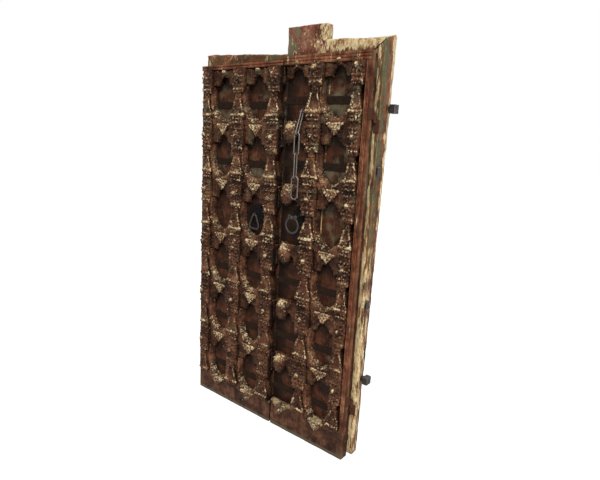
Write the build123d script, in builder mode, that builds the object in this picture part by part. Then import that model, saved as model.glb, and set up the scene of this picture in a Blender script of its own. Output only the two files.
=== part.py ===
"""Carved double-leaf temple door hung in front of its timber frame.

X runs across the doorway, Y runs from the carved front to the back, Z is up. The origin is the
middle of the sill's underside. All lengths are millimetres.
"""

import os
from math import atan2, degrees, hypot

from build123d import *

os.makedirs("parts", exist_ok=True)

# Leaves
leaf_height = 1880.0
left_leaf_width = 574.0
right_leaf_width = 468.0
seam_gap = 8.0
leaf_drop = 20.0
leaf_thickness = 50.0
shut_gap = 2.0
plank_thickness = 22.0
left_plank_shares = (0.35, 0.34, 0.31)
right_plank_shares = (0.36, 0.34, 0.30)

# Rows of niches
row_count = 6
foot_overlap = 14.0
left_ledge_rise = -2.0
right_ledge_rise = 18.0
rail_height = 104.0
rail_recess = 6.0
left_bottom_rail_height = 124.0
right_bottom_rail_height = 148.0
nosing_radius = 22.0
nosing_inset = 5.0
lip_height = 10.0
lip_proud = 8.0
keyhole_width = 72.0
keyhole_straight = 10.0
keyhole_sides = 8
corbel_width = 120.0
corbel_height = 58.0
corbel_proud = 13.0
corbel_bevel = 11.0

# Carved columns
left_outer_column_x = 46.0
left_meeting_column_inset = 44.0
right_middle_column_x = 192.0
right_outer_column_inset = 54.0
outer_column_width_share = 0.76
edge_strip_width = 14.0
column_proud = 12.0
block_width = 84.0
block_height = 90.0
block_proud = 8.0
boss_drop = 64.0
boss_radius = 21.0
boss_proud = 14.0
boss_sides = 8
boss_bevel = 9.0
neck_width = 62.0
waist_width = 36.0
waist_drop_share = 0.586
funnel_sag = 5.0
bell_width = 80.0
bell_drop_share = 0.834
bell_root = 8.0
bell_proud = 10.0
abacus_width = 94.0
abacus_height = 16.0
cap_width = 76.0

# Mouldings
top_moulding_height = 25.0
moulding_proud = 4.0
border_width = 22.0
left_reed_count = 2
right_reed_count = 3
reed_rise_share = 0.36

# Iron straps and back ledges
strap_height = 34.0
strap_thickness = 3.0
rows_above_pulls_count = 2
ledge_board_height = 90.0
ledge_board_thickness = 28.0
ledge_board_shares = (0.14, 0.50, 0.86)
ledge_board_inset = 14.0

# Timber frame
jamb_proud = 30.0
jamb_width = 112.0
jamb_depth_top = 95.0
jamb_depth_foot = 42.0
sill_depth = 60.0
sill_height = 88.0
sill_tenon_length = 40.0
sill_tenon_thickness = 18.0
tenon_clearance = 0.3
head_height = 150.0
head_rise_left = 71.0
head_rise_seam = 38.0
head_rise_step = 86.0
head_rise_right = 98.0
crest_offset = 24.0
crest_width = 228.0
crest_rise = 156.0
crest_let_in = 60.0
crest_thickness = 46.0

# Wall lugs and side staples
lower_lug_height = 393.0
upper_lug_drop = 212.0
lug_size = 38.0
lug_length = 26.0
lug_neck_size = 22.0
lug_neck_length = 12.0
lug_inset = 15.0
lower_staple_height = 770.0
upper_staple_drop = 480.0
staple_width = 24.0
staple_height = 40.0
staple_reach = 12.0
staple_bar = 7.0
staple_setback = 16.0

# Leaf hinges
hinge_shares = (0.15, 0.86)
hinge_pin_radius = 4.0
hinge_pin_clearance = 0.05
hinge_eye_radius = 7.0
hinge_eye_height = 26.0
hinge_strap_thickness = 4.0
hinge_strap_height = 46.0
hinge_side_gap = 1.0
hook_arm_height = 12.0
hook_plate_height = 40.0
hook_plate_thickness = 3.0
hook_gap = 0.3

# Pulls
pull_bar_width = 8.0
pull_bar_thickness = 5.0
pull_eye_clearance = 0.5
pull_eye_wall = 4.0
pull_eye_length = 7.0
pull_plate_thickness = 4.0
plate_sides = 12
right_pull_spacing = 69.0
right_plate_clearance = 4.0
right_pull_stand_off = 70.0
right_plate_radius = 46.0
right_ring_radius = 37.0
left_plate_clearance = 7.0
left_pull_stand_off = 20.0
left_plate_radius = 52.0
stirrup_top_radius = 13.0
stirrup_foot_radius = 17.0
stirrup_foot_spacing = 30.0
stirrup_height = 44.0

# Door chain
chain_spacing = 66.0
chain_staple_rise = 44.0
chain_stand_off = 37.0
chain_swing_out = 32.0
chain_first_drop = 98.0
chain_pitch = 100.0
link_bar_width = 6.0
link_bar_thickness = 4.5
link_clearance = 0.9
link_corner_share = 0.3
edge_link_width = 24.0
flat_link_width = 34.0
end_link_width = 44.0
end_link_length = 112.0
chain_staple_span = 30.0

# Places that follow from the sizes
leaf_span = left_leaf_width + seam_gap + right_leaf_width
left_edge_x = -leaf_span / 2
right_edge_x = leaf_span / 2
left_meeting_x = left_edge_x + left_leaf_width
right_meeting_x = right_edge_x - right_leaf_width
frame_front_y = -sill_depth / 2
leaf_back_y = frame_front_y - shut_gap
rim_y = leaf_back_y - leaf_thickness
floor_y = leaf_back_y - plank_thickness
rail_y = rim_y + rail_recess
column_y = rim_y - column_proud
leaf_bottom_z = -leaf_drop
leaf_top_z = leaf_bottom_z + leaf_height
row_pitch = (leaf_height - left_bottom_rail_height + foot_overlap) / row_count
waist_drop = waist_drop_share * row_pitch
bell_drop = bell_drop_share * row_pitch
carving_top_z = leaf_top_z - top_moulding_height
jamb_outer_x = leaf_span / 2 + jamb_proud
jamb_inner_x = jamb_outer_x - jamb_width


def front_plane(y):
    """A sketch plane facing the front at depth y, with X to the right and Z up."""
    return Plane(origin=(0, y, 0), x_dir=(1, 0, 0), z_dir=(0, -1, 0))


def finish(piece, name):
    """Name a finished piece and write it."""
    piece.label = name
    export_step(piece, f"parts/{name}.step")


def ledges_from(first_rise):
    """Heights of the row ledges, the first of them behind the top moulding."""
    first = leaf_top_z + first_rise
    return [first - row * row_pitch for row in range(row_count)]


def plank_edges(start, width, shares):
    """Edges of the backing planks across a leaf."""
    edges = [start]
    for share in shares:
        edges.append(edges[-1] + share * width)
    return edges


def make_plank(low, high):
    """One upright backing plank."""
    with BuildPart() as plank:
        with BuildSketch(front_plane(leaf_back_y)):
            with Locations(((low + high) / 2, (leaf_bottom_z + leaf_top_z) / 2)):
                Rectangle(high - low, leaf_height)
        extrude(amount=plank_thickness)
    return plank.part


def make_corbels(bays, ledge, y):
    """Inverted wedges with bevelled sides that hang from a ledge, one in each bay."""
    with BuildPart() as corbels:
        with BuildSketch(front_plane(y)):
            for bay in bays:
                Polygon(
                    (bay - corbel_width / 2, ledge),
                    (bay, ledge - corbel_height),
                    (bay + corbel_width / 2, ledge),
                    align=None,
                )
        extrude(amount=corbel_proud)
        front_edges = corbels.faces().group_by(Axis.Y)[0].edges()
        chamfer(front_edges.group_by(Axis.Z)[0], length=corbel_bevel)
    return corbels.part


def make_rail(low, high, ledge, bays, rounded):
    """A cross rail with an arched keyhole, a lip and a corbel in each bay."""
    foot = ledge - rail_height
    top = min(ledge, carving_top_z)
    corbels = make_corbels(bays, ledge, rail_y)
    with BuildPart() as rail:
        with BuildSketch(front_plane(floor_y)) as outline:
            with Locations(((low + high) / 2, (foot + top) / 2)):
                Rectangle(high - low, top - foot)
            if rounded:
                fillet(outline.vertices().sort_by(Axis.X)[:2], radius=nosing_radius)
            with Locations(*[(bay, foot + keyhole_straight / 2) for bay in bays]):
                Rectangle(keyhole_width, keyhole_straight, mode=Mode.SUBTRACT)
            with Locations(*[(bay, foot + keyhole_straight) for bay in bays]):
                RegularPolygon(keyhole_width / 2, keyhole_sides, mode=Mode.SUBTRACT)
        extrude(amount=floor_y - rail_y)
        if ledge < carving_top_z:
            lip_low = low + nosing_radius if rounded else low
            with BuildSketch(front_plane(rail_y)):
                with Locations(((lip_low + high) / 2, ledge - lip_height / 2)):
                    Rectangle(high - lip_low, lip_height)
            extrude(amount=lip_proud)
            add(corbels)
    return rail.part


def make_bottom_rail(low, high, height, bays):
    """The plain rail along the foot of a leaf, with hanging corbels."""
    top = leaf_bottom_z + height
    corbels = make_corbels(bays, top, rim_y)
    with BuildPart() as rail:
        with BuildSketch(front_plane(floor_y)):
            with Locations(((low + high) / 2, (leaf_bottom_z + top) / 2)):
                Rectangle(high - low, height)
        extrude(amount=floor_y - rim_y)
        add(corbels)
    return rail.part


def column_module(x, ledge, share):
    """Outline of one carved stage: block, funnel, waist, bell, abacus and cap."""
    block_top = ledge - boss_drop + block_height / 2
    block_foot = block_top - block_height
    waist = ledge - waist_drop
    bell_foot = ledge - bell_drop
    abacus_foot = bell_foot - abacus_height
    stage_foot = block_top - row_pitch
    half_block = share * block_width / 2
    half_neck = share * neck_width / 2
    half_waist = share * waist_width / 2
    half_bell = share * bell_width / 2
    half_abacus = share * abacus_width / 2
    half_cap = share * cap_width / 2
    funnel_middle = (x + (half_neck + half_waist) / 2 - funnel_sag, (block_foot + waist) / 2)
    with BuildLine() as outline:
        Polyline((x, block_top), (x + half_block, block_top), (x + half_block, block_foot),
                 (x + half_neck, block_foot), funnel_middle, (x + half_waist, waist),
                 (x + half_bell, bell_foot), (x + half_abacus, bell_foot),
                 (x + half_abacus, abacus_foot), (x + half_cap, abacus_foot),
                 (x + half_cap, stage_foot), (x, stage_foot))
        mirror(about=Plane.YZ.offset(x))
    make_face(outline.edges())


def make_bells(x, ledges, share):
    """The flared bells of a column, standing out more towards their feet."""
    with BuildPart() as bells:
        with BuildSketch(Plane.YZ.offset(x - share * bell_width / 2)):
            for ledge in ledges:
                Polygon(
                    (column_y + bell_root, ledge - waist_drop),
                    (column_y, ledge - waist_drop),
                    (column_y - bell_proud, ledge - bell_drop),
                    (column_y + bell_root, ledge - bell_drop),
                    align=None,
                )
        extrude(amount=share * bell_width)
        with BuildSketch(front_plane(column_y + bell_root)):
            for ledge in ledges:
                Polygon(
                    (x - share * waist_width / 2, ledge - waist_drop),
                    (x + share * waist_width / 2, ledge - waist_drop),
                    (x + share * bell_width / 2, ledge - bell_drop),
                    (x - share * bell_width / 2, ledge - bell_drop),
                    align=None,
                )
        extrude(amount=bell_root + bell_proud, mode=Mode.INTERSECT)
    return bells.part


def make_bosses(x, ledges, share):
    """The faceted bosses on a column's blocks."""
    with BuildPart() as bosses:
        with BuildSketch(front_plane(column_y - block_proud)):
            with Locations(*[(x, ledge - boss_drop) for ledge in ledges]):
                RegularPolygon(share * boss_radius, boss_sides)
        extrude(amount=boss_proud)
        chamfer(bosses.faces().group_by(Axis.Y)[0].edges(), length=share * boss_bevel)
    return bosses.part


def make_column(x, low, high, ledges, foot, share, strip, rails, straps):
    """A carved column lapped over the rails and straps that cross behind it."""
    middle = (foot + carving_top_z) / 2
    height = carving_top_z - foot
    bells = make_bells(x, ledges, share)
    bosses = make_bosses(x, ledges, share)
    with BuildPart() as column:
        with BuildSketch(front_plane(floor_y)):
            for ledge in ledges:
                column_module(x, ledge, share)
            if strip:
                with Locations((low + edge_strip_width / 2, middle)):
                    Rectangle(edge_strip_width, height)
            with Locations(((low + high) / 2, middle)):
                Rectangle(high - low, height, mode=Mode.INTERSECT)
        extrude(amount=floor_y - column_y)
        add(bells)
        with BuildSketch(front_plane(column_y)):
            for ledge in ledges:
                with Locations((x, ledge - boss_drop)):
                    Rectangle(share * block_width, block_height)
                with Locations((x, ledge - bell_drop - abacus_height / 2)):
                    Rectangle(share * abacus_width, abacus_height)
            with Locations(((low + high) / 2, middle)):
                Rectangle(high - low, height, mode=Mode.INTERSECT)
        extrude(amount=block_proud)
        add(bosses)
        for crossing in rails:
            add(crossing, mode=Mode.SUBTRACT)
        add(straps, mode=Mode.SUBTRACT)
    return column.part


def make_straps(low, high, ledges):
    """Flat iron straps across the planks at the middle of the niches."""
    drop = (rail_height + row_pitch) / 2
    strap_rows = [row for row in range(row_count) if row != rows_above_pulls_count]
    with BuildPart() as straps:
        with BuildSketch(front_plane(floor_y)):
            with Locations(*[((low + high) / 2, ledges[row] - drop) for row in strap_rows]):
                Rectangle(high - low, strap_height)
        extrude(amount=strap_thickness)
    return straps.part


def make_ledge_boards(low, high):
    """Plain boards across the back of a leaf, inside the doorway."""
    with BuildPart() as boards:
        with BuildSketch(front_plane(leaf_back_y + ledge_board_thickness)):
            with Locations(*[((low + high) / 2, leaf_bottom_z + share * leaf_height)
                             for share in ledge_board_shares]):
                Rectangle(high - low, ledge_board_height)
        extrude(amount=ledge_board_thickness)
    return boards.part


def reeded_edge(start, end, count):
    """A run of half-round reeds from start to end along the first sketch axis, facing up."""
    step = (end - start) / count
    Line((start, 0), (end, 0))
    Line((start, 0), (start, moulding_proud))
    for reed in range(count):
        left = start + reed * step
        ThreePointArc((left, moulding_proud),
                      (left + step / 2, moulding_proud + reed_rise_share * step),
                      (left + step, moulding_proud))
    Line((end, moulding_proud), (end, 0))


def make_top_moulding(low, high, count):
    """The reeded moulding along the head of a leaf."""
    with BuildPart() as moulding:
        with BuildSketch(front_plane(floor_y)):
            with Locations(((low + high) / 2, (carving_top_z + leaf_top_z) / 2)):
                Rectangle(high - low, top_moulding_height)
        extrude(amount=floor_y - rim_y)
        section = Plane(origin=(low, rim_y, carving_top_z), x_dir=(0, 0, 1), z_dir=(1, 0, 0))
        with BuildSketch(section):
            with BuildLine():
                reeded_edge(0, top_moulding_height, count)
            make_face()
        extrude(amount=high - low)
    return moulding.part


def make_border(low, high, foot):
    """The reeded moulding up the outer edge of the right leaf."""
    with BuildPart() as border:
        with BuildSketch(front_plane(floor_y)):
            with Locations(((low + high) / 2, (foot + carving_top_z) / 2)):
                Rectangle(high - low, carving_top_z - foot)
        extrude(amount=floor_y - rim_y)
        section = Plane(origin=(high, rim_y, foot), x_dir=(-1, 0, 0), z_dir=(0, 0, 1))
        with BuildSketch(section):
            with BuildLine():
                reeded_edge(0, high - low, right_reed_count)
            make_face()
        extrude(amount=carving_top_z - foot)
    return border.part


# Left leaf
left_ledges = ledges_from(left_ledge_rise)
left_outer_x = left_edge_x + left_outer_column_x
left_inner_x = left_meeting_x - left_meeting_column_inset
left_columns = [left_outer_x, (left_outer_x + left_inner_x) / 2, left_inner_x]
left_bays = [(left_columns[0] + left_columns[1]) / 2, (left_columns[1] + left_columns[2]) / 2]
left_foot_z = leaf_bottom_z + left_bottom_rail_height
left_plank_edges = plank_edges(left_edge_x, left_leaf_width, left_plank_shares)
for number in range(len(left_plank_shares)):
    finish(make_plank(left_plank_edges[number], left_plank_edges[number + 1]),
           f"left_plank_{number + 1}")

left_rails = [make_rail(left_edge_x, left_meeting_x, ledge, left_bays, False)
              for ledge in left_ledges]
for number, rail in enumerate(left_rails):
    finish(rail, f"left_rail_{number + 1}")
finish(make_bottom_rail(left_edge_x, left_meeting_x, left_bottom_rail_height, left_bays),
       "left_bottom_rail")

left_straps = make_straps(left_edge_x, left_meeting_x, left_ledges)
finish(left_straps, "left_straps")
left_outer_column = make_column(left_columns[0], left_edge_x, left_columns[1], left_ledges,
                                left_foot_z, 1, True, left_rails, left_straps)
finish(left_outer_column, "left_outer_column")
left_middle_column = make_column(left_columns[1], left_columns[0], left_columns[2], left_ledges,
                                 left_foot_z, 1, False, left_rails, left_straps)
finish(left_middle_column, "left_middle_column")
left_meeting_column = make_column(left_columns[2], left_columns[1], left_meeting_x, left_ledges,
                                  left_foot_z, 1, False, left_rails, left_straps)
finish(left_meeting_column, "left_meeting_column")
finish(make_top_moulding(left_edge_x, left_meeting_x, left_reed_count), "left_top_moulding")
finish(make_ledge_boards(ledge_board_inset - jamb_inner_x, left_meeting_x - ledge_board_inset),
       "left_back_ledges")

# Right leaf
right_ledges = ledges_from(right_ledge_rise)
right_columns = [right_meeting_x + right_middle_column_x, right_edge_x - right_outer_column_inset]
right_bays = [
    (right_meeting_x + right_columns[0] - block_width / 2) / 2,
    (right_columns[0] + block_width / 2
     + right_columns[1] - outer_column_width_share * block_width / 2) / 2,
]
right_foot_z = leaf_bottom_z + right_bottom_rail_height
border_x = right_edge_x - border_width
right_plank_edges = plank_edges(right_meeting_x, right_leaf_width, right_plank_shares)
for number in range(len(right_plank_shares)):
    finish(make_plank(right_plank_edges[number], right_plank_edges[number + 1]),
           f"right_plank_{number + 1}")

right_rails = [make_rail(right_meeting_x + nosing_inset, border_x, ledge, right_bays, True)
               for ledge in right_ledges]
for number, rail in enumerate(right_rails):
    finish(rail, f"right_rail_{number + 1}")
finish(make_bottom_rail(right_meeting_x, right_edge_x, right_bottom_rail_height, right_bays),
       "right_bottom_rail")

right_straps = make_straps(right_meeting_x, border_x, right_ledges)
finish(right_straps, "right_straps")
right_middle_column = make_column(right_columns[0], right_meeting_x, right_columns[1],
                                  right_ledges, right_foot_z, 1, False, right_rails, right_straps)
finish(right_middle_column, "right_middle_column")
right_outer_column = make_column(right_columns[1], right_columns[0], border_x, right_ledges,
                                 right_foot_z, outer_column_width_share, False, right_rails,
                                 right_straps)
finish(right_outer_column, "right_outer_column")
finish(make_border(border_x, right_edge_x, right_foot_z), "right_border")
finish(make_top_moulding(right_meeting_x, right_edge_x, right_reed_count), "right_top_moulding")
finish(make_ledge_boards(right_meeting_x + ledge_board_inset, jamb_inner_x - ledge_board_inset),
       "right_back_ledges")

# Frame timbers
head_foot_z = carving_top_z - head_height + head_rise_right
crest_low_x = crest_offset
crest_high_x = crest_low_x + crest_width
crest_foot_z = leaf_top_z - crest_let_in
crest_top_z = leaf_top_z + crest_rise

with BuildPart() as crest_block:
    with BuildSketch(front_plane(frame_front_y + crest_thickness)):
        with Locations(((crest_low_x + crest_high_x) / 2, (crest_foot_z + crest_top_z) / 2)):
            Rectangle(crest_width, crest_top_z - crest_foot_z)
    extrude(amount=crest_thickness)
finish(crest_block.part, "crest_block")

with BuildPart() as head:
    with BuildSketch(front_plane(frame_front_y + jamb_depth_top)):
        Polygon(
            (-jamb_outer_x, leaf_top_z + head_rise_left),
            (crest_low_x, leaf_top_z + head_rise_seam),
            (crest_high_x, leaf_top_z + head_rise_step),
            (jamb_outer_x, leaf_top_z + head_rise_right),
            (jamb_inner_x, head_foot_z),
            (-jamb_inner_x, head_foot_z),
            align=None,
        )
    extrude(amount=jamb_depth_top)
    add(crest_block.part, mode=Mode.SUBTRACT)
finish(head.part, "head")

with BuildPart() as sill:
    with BuildSketch(Plane.XY):
        Rectangle(2 * jamb_inner_x, sill_depth)
    extrude(amount=sill_height)
    with BuildSketch(Plane.XY.offset(sill_height / 2 - sill_tenon_thickness)):
        with Locations((0, frame_front_y + jamb_depth_foot / 2)):
            Rectangle(2 * (jamb_inner_x + sill_tenon_length), sill_tenon_thickness)
    extrude(amount=2 * sill_tenon_thickness)
finish(sill.part, "sill")


def make_jamb(side, top_rise):
    """An upright whose back is hewn away towards the foot, mitred under the head."""
    outer = side * jamb_outer_x
    inner = side * jamb_inner_x
    top = leaf_top_z + top_rise
    with BuildPart() as jamb:
        with BuildSketch(front_plane(frame_front_y + jamb_depth_top)):
            Polygon((inner, 0), (outer, 0), (outer, top), (inner, head_foot_z), align=None)
        extrude(amount=jamb_depth_top)
        back = frame_front_y + jamb_depth_foot
        with BuildSketch(Plane.YZ.offset(-jamb_outer_x)):
            Polygon((back, 0), (frame_front_y + jamb_depth_top, top),
                    (frame_front_y + jamb_depth_top, 0), align=None)
        extrude(amount=2 * jamb_outer_x, mode=Mode.SUBTRACT)
        mortise_x = side * (jamb_inner_x + sill_tenon_length / 2)
        with BuildSketch(Plane.XY.offset(sill_height / 2 - sill_tenon_thickness - tenon_clearance)):
            with Locations((mortise_x, frame_front_y + jamb_depth_foot / 2)):
                Rectangle(sill_tenon_length + 2 * tenon_clearance,
                          sill_tenon_thickness + 2 * tenon_clearance)
        extrude(amount=2 * (sill_tenon_thickness + tenon_clearance), mode=Mode.SUBTRACT)
    return jamb.part


finish(make_jamb(-1, head_rise_left), "left_jamb")
finish(make_jamb(1, head_rise_right), "right_jamb")


def jamb_depth(z):
    """Depth of the right jamb at height z."""
    return jamb_depth_foot + (jamb_depth_top - jamb_depth_foot) * z / (leaf_top_z + head_rise_right)


lug_heights = (lower_lug_height, leaf_top_z - upper_lug_drop)
staple_heights = (lower_staple_height, leaf_top_z - upper_staple_drop)

with BuildPart() as wall_lugs:
    for side in (-1, 1):
        plane = Plane(origin=(side * jamb_outer_x, 0, 0), x_dir=(0, 1, 0), z_dir=(side, 0, 0))
        for z in lug_heights:
            spot = (frame_front_y + jamb_depth(z) - lug_inset, side * z)
            with BuildSketch(plane):
                with Locations(spot):
                    Rectangle(lug_neck_size, lug_neck_size)
            extrude(amount=lug_neck_length)
            with BuildSketch(plane.offset(lug_neck_length)):
                with Locations(spot):
                    Rectangle(lug_size, lug_size)
            extrude(amount=lug_length)
finish(wall_lugs.part, "wall_lugs")

with BuildPart() as side_staples:
    for z in staple_heights:
        with BuildSketch(Plane.XZ.offset(staple_width / 2 - frame_front_y - staple_setback)):
            with Locations((jamb_outer_x + staple_reach / 2, z)):
                Rectangle(staple_reach, staple_height)
            with Locations((jamb_outer_x + (staple_reach - staple_bar) / 2, z)):
                Rectangle(staple_reach - staple_bar, staple_height - 2 * staple_bar,
                          mode=Mode.SUBTRACT)
        extrude(amount=-staple_width)
finish(side_staples.part, "side_staples")

# Hinges: an eye on the leaf's side turns on a hook that stands on the jamb's front
hinge_x = right_edge_x + hinge_strap_thickness + hinge_eye_radius - hinge_side_gap
hinge_y = frame_front_y - hinge_eye_radius - hinge_side_gap
hinge_heights = [leaf_bottom_z + share * leaf_height for share in hinge_shares]


def make_hinge_eyes(side):
    """Straps on a leaf's outer side, each with an eye for its hook's pin."""
    edge = side * right_edge_x
    axis_x = side * hinge_x
    with BuildPart() as eyes:
        for z in hinge_heights:
            with BuildSketch(Plane.XY.offset(z)):
                with Locations((edge + side * hinge_strap_thickness / 2, (rim_y + hinge_y) / 2)):
                    Rectangle(hinge_strap_thickness, hinge_y - rim_y)
            extrude(amount=hinge_strap_height)
            with BuildSketch(Plane.XY.offset(z)):
                with Locations(((edge + axis_x) / 2, hinge_y - hinge_eye_radius / 2)):
                    Rectangle(abs(axis_x - edge), hinge_eye_radius)
                with Locations((axis_x, hinge_y)):
                    Circle(hinge_eye_radius)
                    Circle(hinge_pin_radius + hinge_pin_clearance, mode=Mode.SUBTRACT)
            extrude(amount=hinge_eye_height)
    return eyes.part


def make_hinge_hooks(side):
    """Hooks on a jamb's front, each an arm with a plate below and a pin above."""
    axis_x = side * hinge_x
    outer = side * jamb_outer_x
    with BuildPart() as hooks:
        for z in hinge_heights:
            arm_top = z - hook_gap
            arm_foot = arm_top - hook_arm_height
            with BuildSketch(Plane.XY.offset(arm_foot)):
                with Locations((axis_x, hinge_y)):
                    Circle(hinge_eye_radius)
                with Locations((axis_x, (hinge_y + frame_front_y) / 2)):
                    Rectangle(2 * hinge_eye_radius, frame_front_y - hinge_y)
            extrude(amount=hook_arm_height)
            with BuildSketch(Plane.XY.offset(arm_foot - hook_plate_height)):
                with Locations(((axis_x - side * hinge_eye_radius + outer) / 2,
                                frame_front_y - hook_plate_thickness / 2)):
                    Rectangle(abs(outer - axis_x) + hinge_eye_radius, hook_plate_thickness)
            extrude(amount=hook_plate_height + hook_arm_height)
            with BuildSketch(Plane.XY.offset(arm_top)):
                with Locations((axis_x, hinge_y)):
                    Circle(hinge_pin_radius)
            extrude(amount=hook_gap + hinge_eye_height + hinge_pin_radius)
    return hooks.part


finish(make_hinge_eyes(-1), "left_hinge_eyes")
finish(make_hinge_eyes(1), "right_hinge_eyes")
finish(make_hinge_hooks(-1), "left_hinge_hooks")
finish(make_hinge_hooks(1), "right_hinge_hooks")

# Pulls: a ring on each leaf hangs in an eye that stands out of a plate on the planks
pull_bore = hypot(pull_bar_width, pull_bar_thickness) / 2 + pull_eye_clearance


def make_pull_eye(x, z, stand_off):
    """An eye on a shank from the pull's plate, bored across for the ring."""
    with BuildPart() as eye:
        with BuildSketch(Plane.YZ.offset(x - pull_eye_length / 2)):
            shank = stand_off - pull_plate_thickness
            with Locations((floor_y - pull_plate_thickness - shank / 2, z)):
                Rectangle(shank, 2 * pull_eye_wall)
            with Locations((floor_y - stand_off, z)):
                Circle(pull_bore + pull_eye_wall)
                Circle(pull_bore, mode=Mode.SUBTRACT)
        extrude(amount=pull_eye_length)
    return eye.part


right_niche_top = right_ledges[rows_above_pulls_count] - rail_height
right_pull = (right_columns[0] - right_pull_spacing,
              right_niche_top - right_plate_clearance - right_plate_radius)
left_niche_top = left_ledges[rows_above_pulls_count] - rail_height
left_pull = (left_bays[1], left_niche_top - left_plate_clearance - left_plate_radius)

with BuildPart() as right_pull_plate:
    with BuildSketch(front_plane(floor_y)):
        with Locations(right_pull):
            RegularPolygon(right_plate_radius, plate_sides)
    extrude(amount=pull_plate_thickness)
finish(right_pull_plate.part, "right_pull_plate")
finish(make_pull_eye(*right_pull, right_pull_stand_off), "right_pull_eye")

with BuildPart() as right_ring:
    with BuildSketch(front_plane(floor_y - right_pull_stand_off + pull_bar_thickness / 2)):
        with Locations((right_pull[0], right_pull[1] - right_ring_radius)):
            Circle(right_ring_radius + pull_bar_width / 2)
            Circle(right_ring_radius - pull_bar_width / 2, mode=Mode.SUBTRACT)
    extrude(amount=pull_bar_thickness)
finish(right_ring.part, "right_ring")

with BuildPart() as left_pull_plate:
    with BuildSketch(front_plane(floor_y)):
        with Locations(left_pull):
            RegularPolygon(left_plate_radius, plate_sides)
    extrude(amount=pull_plate_thickness)
finish(left_pull_plate.part, "left_pull_plate")
finish(make_pull_eye(*left_pull, left_pull_stand_off), "left_pull_eye")

with BuildPart() as left_ring:
    with BuildSketch(front_plane(floor_y - left_pull_stand_off + pull_bar_thickness / 2)):
        top_z = left_pull[1] - stirrup_top_radius
        with Locations((left_pull[0], top_z)):
            Circle(stirrup_top_radius + pull_bar_width / 2)
        with Locations((left_pull[0] - stirrup_foot_spacing / 2, top_z - stirrup_height),
                       (left_pull[0] + stirrup_foot_spacing / 2, top_z - stirrup_height)):
            Circle(stirrup_foot_radius + pull_bar_width / 2)
        make_hull()
        offset(amount=-pull_bar_width, mode=Mode.SUBTRACT)
    extrude(amount=pull_bar_thickness)
finish(left_ring.part, "left_ring")

# Door chain: links hang in turn edge-on and flat from a staple on the planks
link_seat = link_bar_width / 2 + link_clearance
chain_line_x = right_columns[0] - chain_spacing
chain_top = (floor_y - chain_stand_off, right_ledges[1] + chain_staple_rise)
chain_second = (chain_top[0] - chain_swing_out, chain_top[1] - chain_first_drop)
chain_third = (chain_second[0], chain_second[1] - chain_pitch)
chain_fourth = (chain_third[0], chain_third[1] - chain_pitch)

with BuildPart() as chain_staple:
    reach = chain_stand_off + link_bar_width / 2
    with BuildSketch(Plane.XY.offset(chain_top[1] - link_bar_thickness / 2)):
        with Locations((chain_line_x, floor_y - reach / 2)):
            Rectangle(chain_staple_span, reach)
        with Locations((chain_line_x, floor_y - (reach - link_bar_width) / 2)):
            Rectangle(chain_staple_span - 2 * link_bar_width, reach - link_bar_width,
                      mode=Mode.SUBTRACT)
    extrude(amount=link_bar_thickness)
finish(chain_staple.part, "chain_staple")


def make_link(plane, length, width):
    """A link centred on a plane, its length along the plane's first axis."""
    with BuildPart() as link:
        with BuildSketch(plane.offset(-link_bar_thickness / 2)) as outline:
            Rectangle(length, width)
            chamfer(outline.vertices(), length=link_corner_share * width)
            offset(amount=-link_bar_width, kind=Kind.INTERSECTION, mode=Mode.SUBTRACT)
        extrude(amount=link_bar_thickness)
    return link.part


def edge_link(upper, lower):
    """A link seen edge-on that hangs round one bar and carries the next."""
    span = hypot(lower[0] - upper[0], lower[1] - upper[1])
    length = span + 2 * (link_seat + link_bar_width)
    middle = (chain_line_x, (upper[0] + lower[0]) / 2, (upper[1] + lower[1]) / 2)
    along = (0, upper[0] - lower[0], upper[1] - lower[1])
    return make_link(Plane(origin=middle, x_dir=along, z_dir=(1, 0, 0)), length, edge_link_width)


def flat_link(upper, length, width):
    """A link that hangs flat to the door by its own upper end."""
    middle = (chain_line_x, upper[0], upper[1] + link_bar_width / 2 - length / 2)
    return make_link(Plane(origin=middle, x_dir=(0, 0, 1), z_dir=(0, -1, 0)), length, width)


finish(edge_link(chain_top, chain_second), "chain_link_1")
finish(flat_link(chain_second, chain_pitch + link_bar_width, flat_link_width), "chain_link_2")
finish(edge_link(chain_third, chain_fourth), "chain_link_3")
finish(flat_link(chain_fourth, end_link_length, end_link_width), "chain_link_4")

tilt = degrees(atan2(chain_swing_out, chain_first_drop))
print("hinge axis", round(hinge_x, 3), round(hinge_y, 3))
print("right pull", right_pull, floor_y - right_pull_stand_off)
print("left pull", left_pull, floor_y - left_pull_stand_off)
print("chain", chain_line_x, chain_top, chain_second, chain_third, chain_fourth, "tilt", round(tilt, 1))
print("doorway", jamb_inner_x, sill_height, head_foot_z)
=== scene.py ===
"""Looks of a carved double-leaf temple door: worn painted carving, hewn frame timbers and forged iron."""

import logging
import math
from dataclasses import dataclass, field, replace
from enum import Enum
from typing import Any, Callable, Sequence

import bmesh
import bpy
import numpy as np
from mathutils import Matrix, Vector


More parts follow.
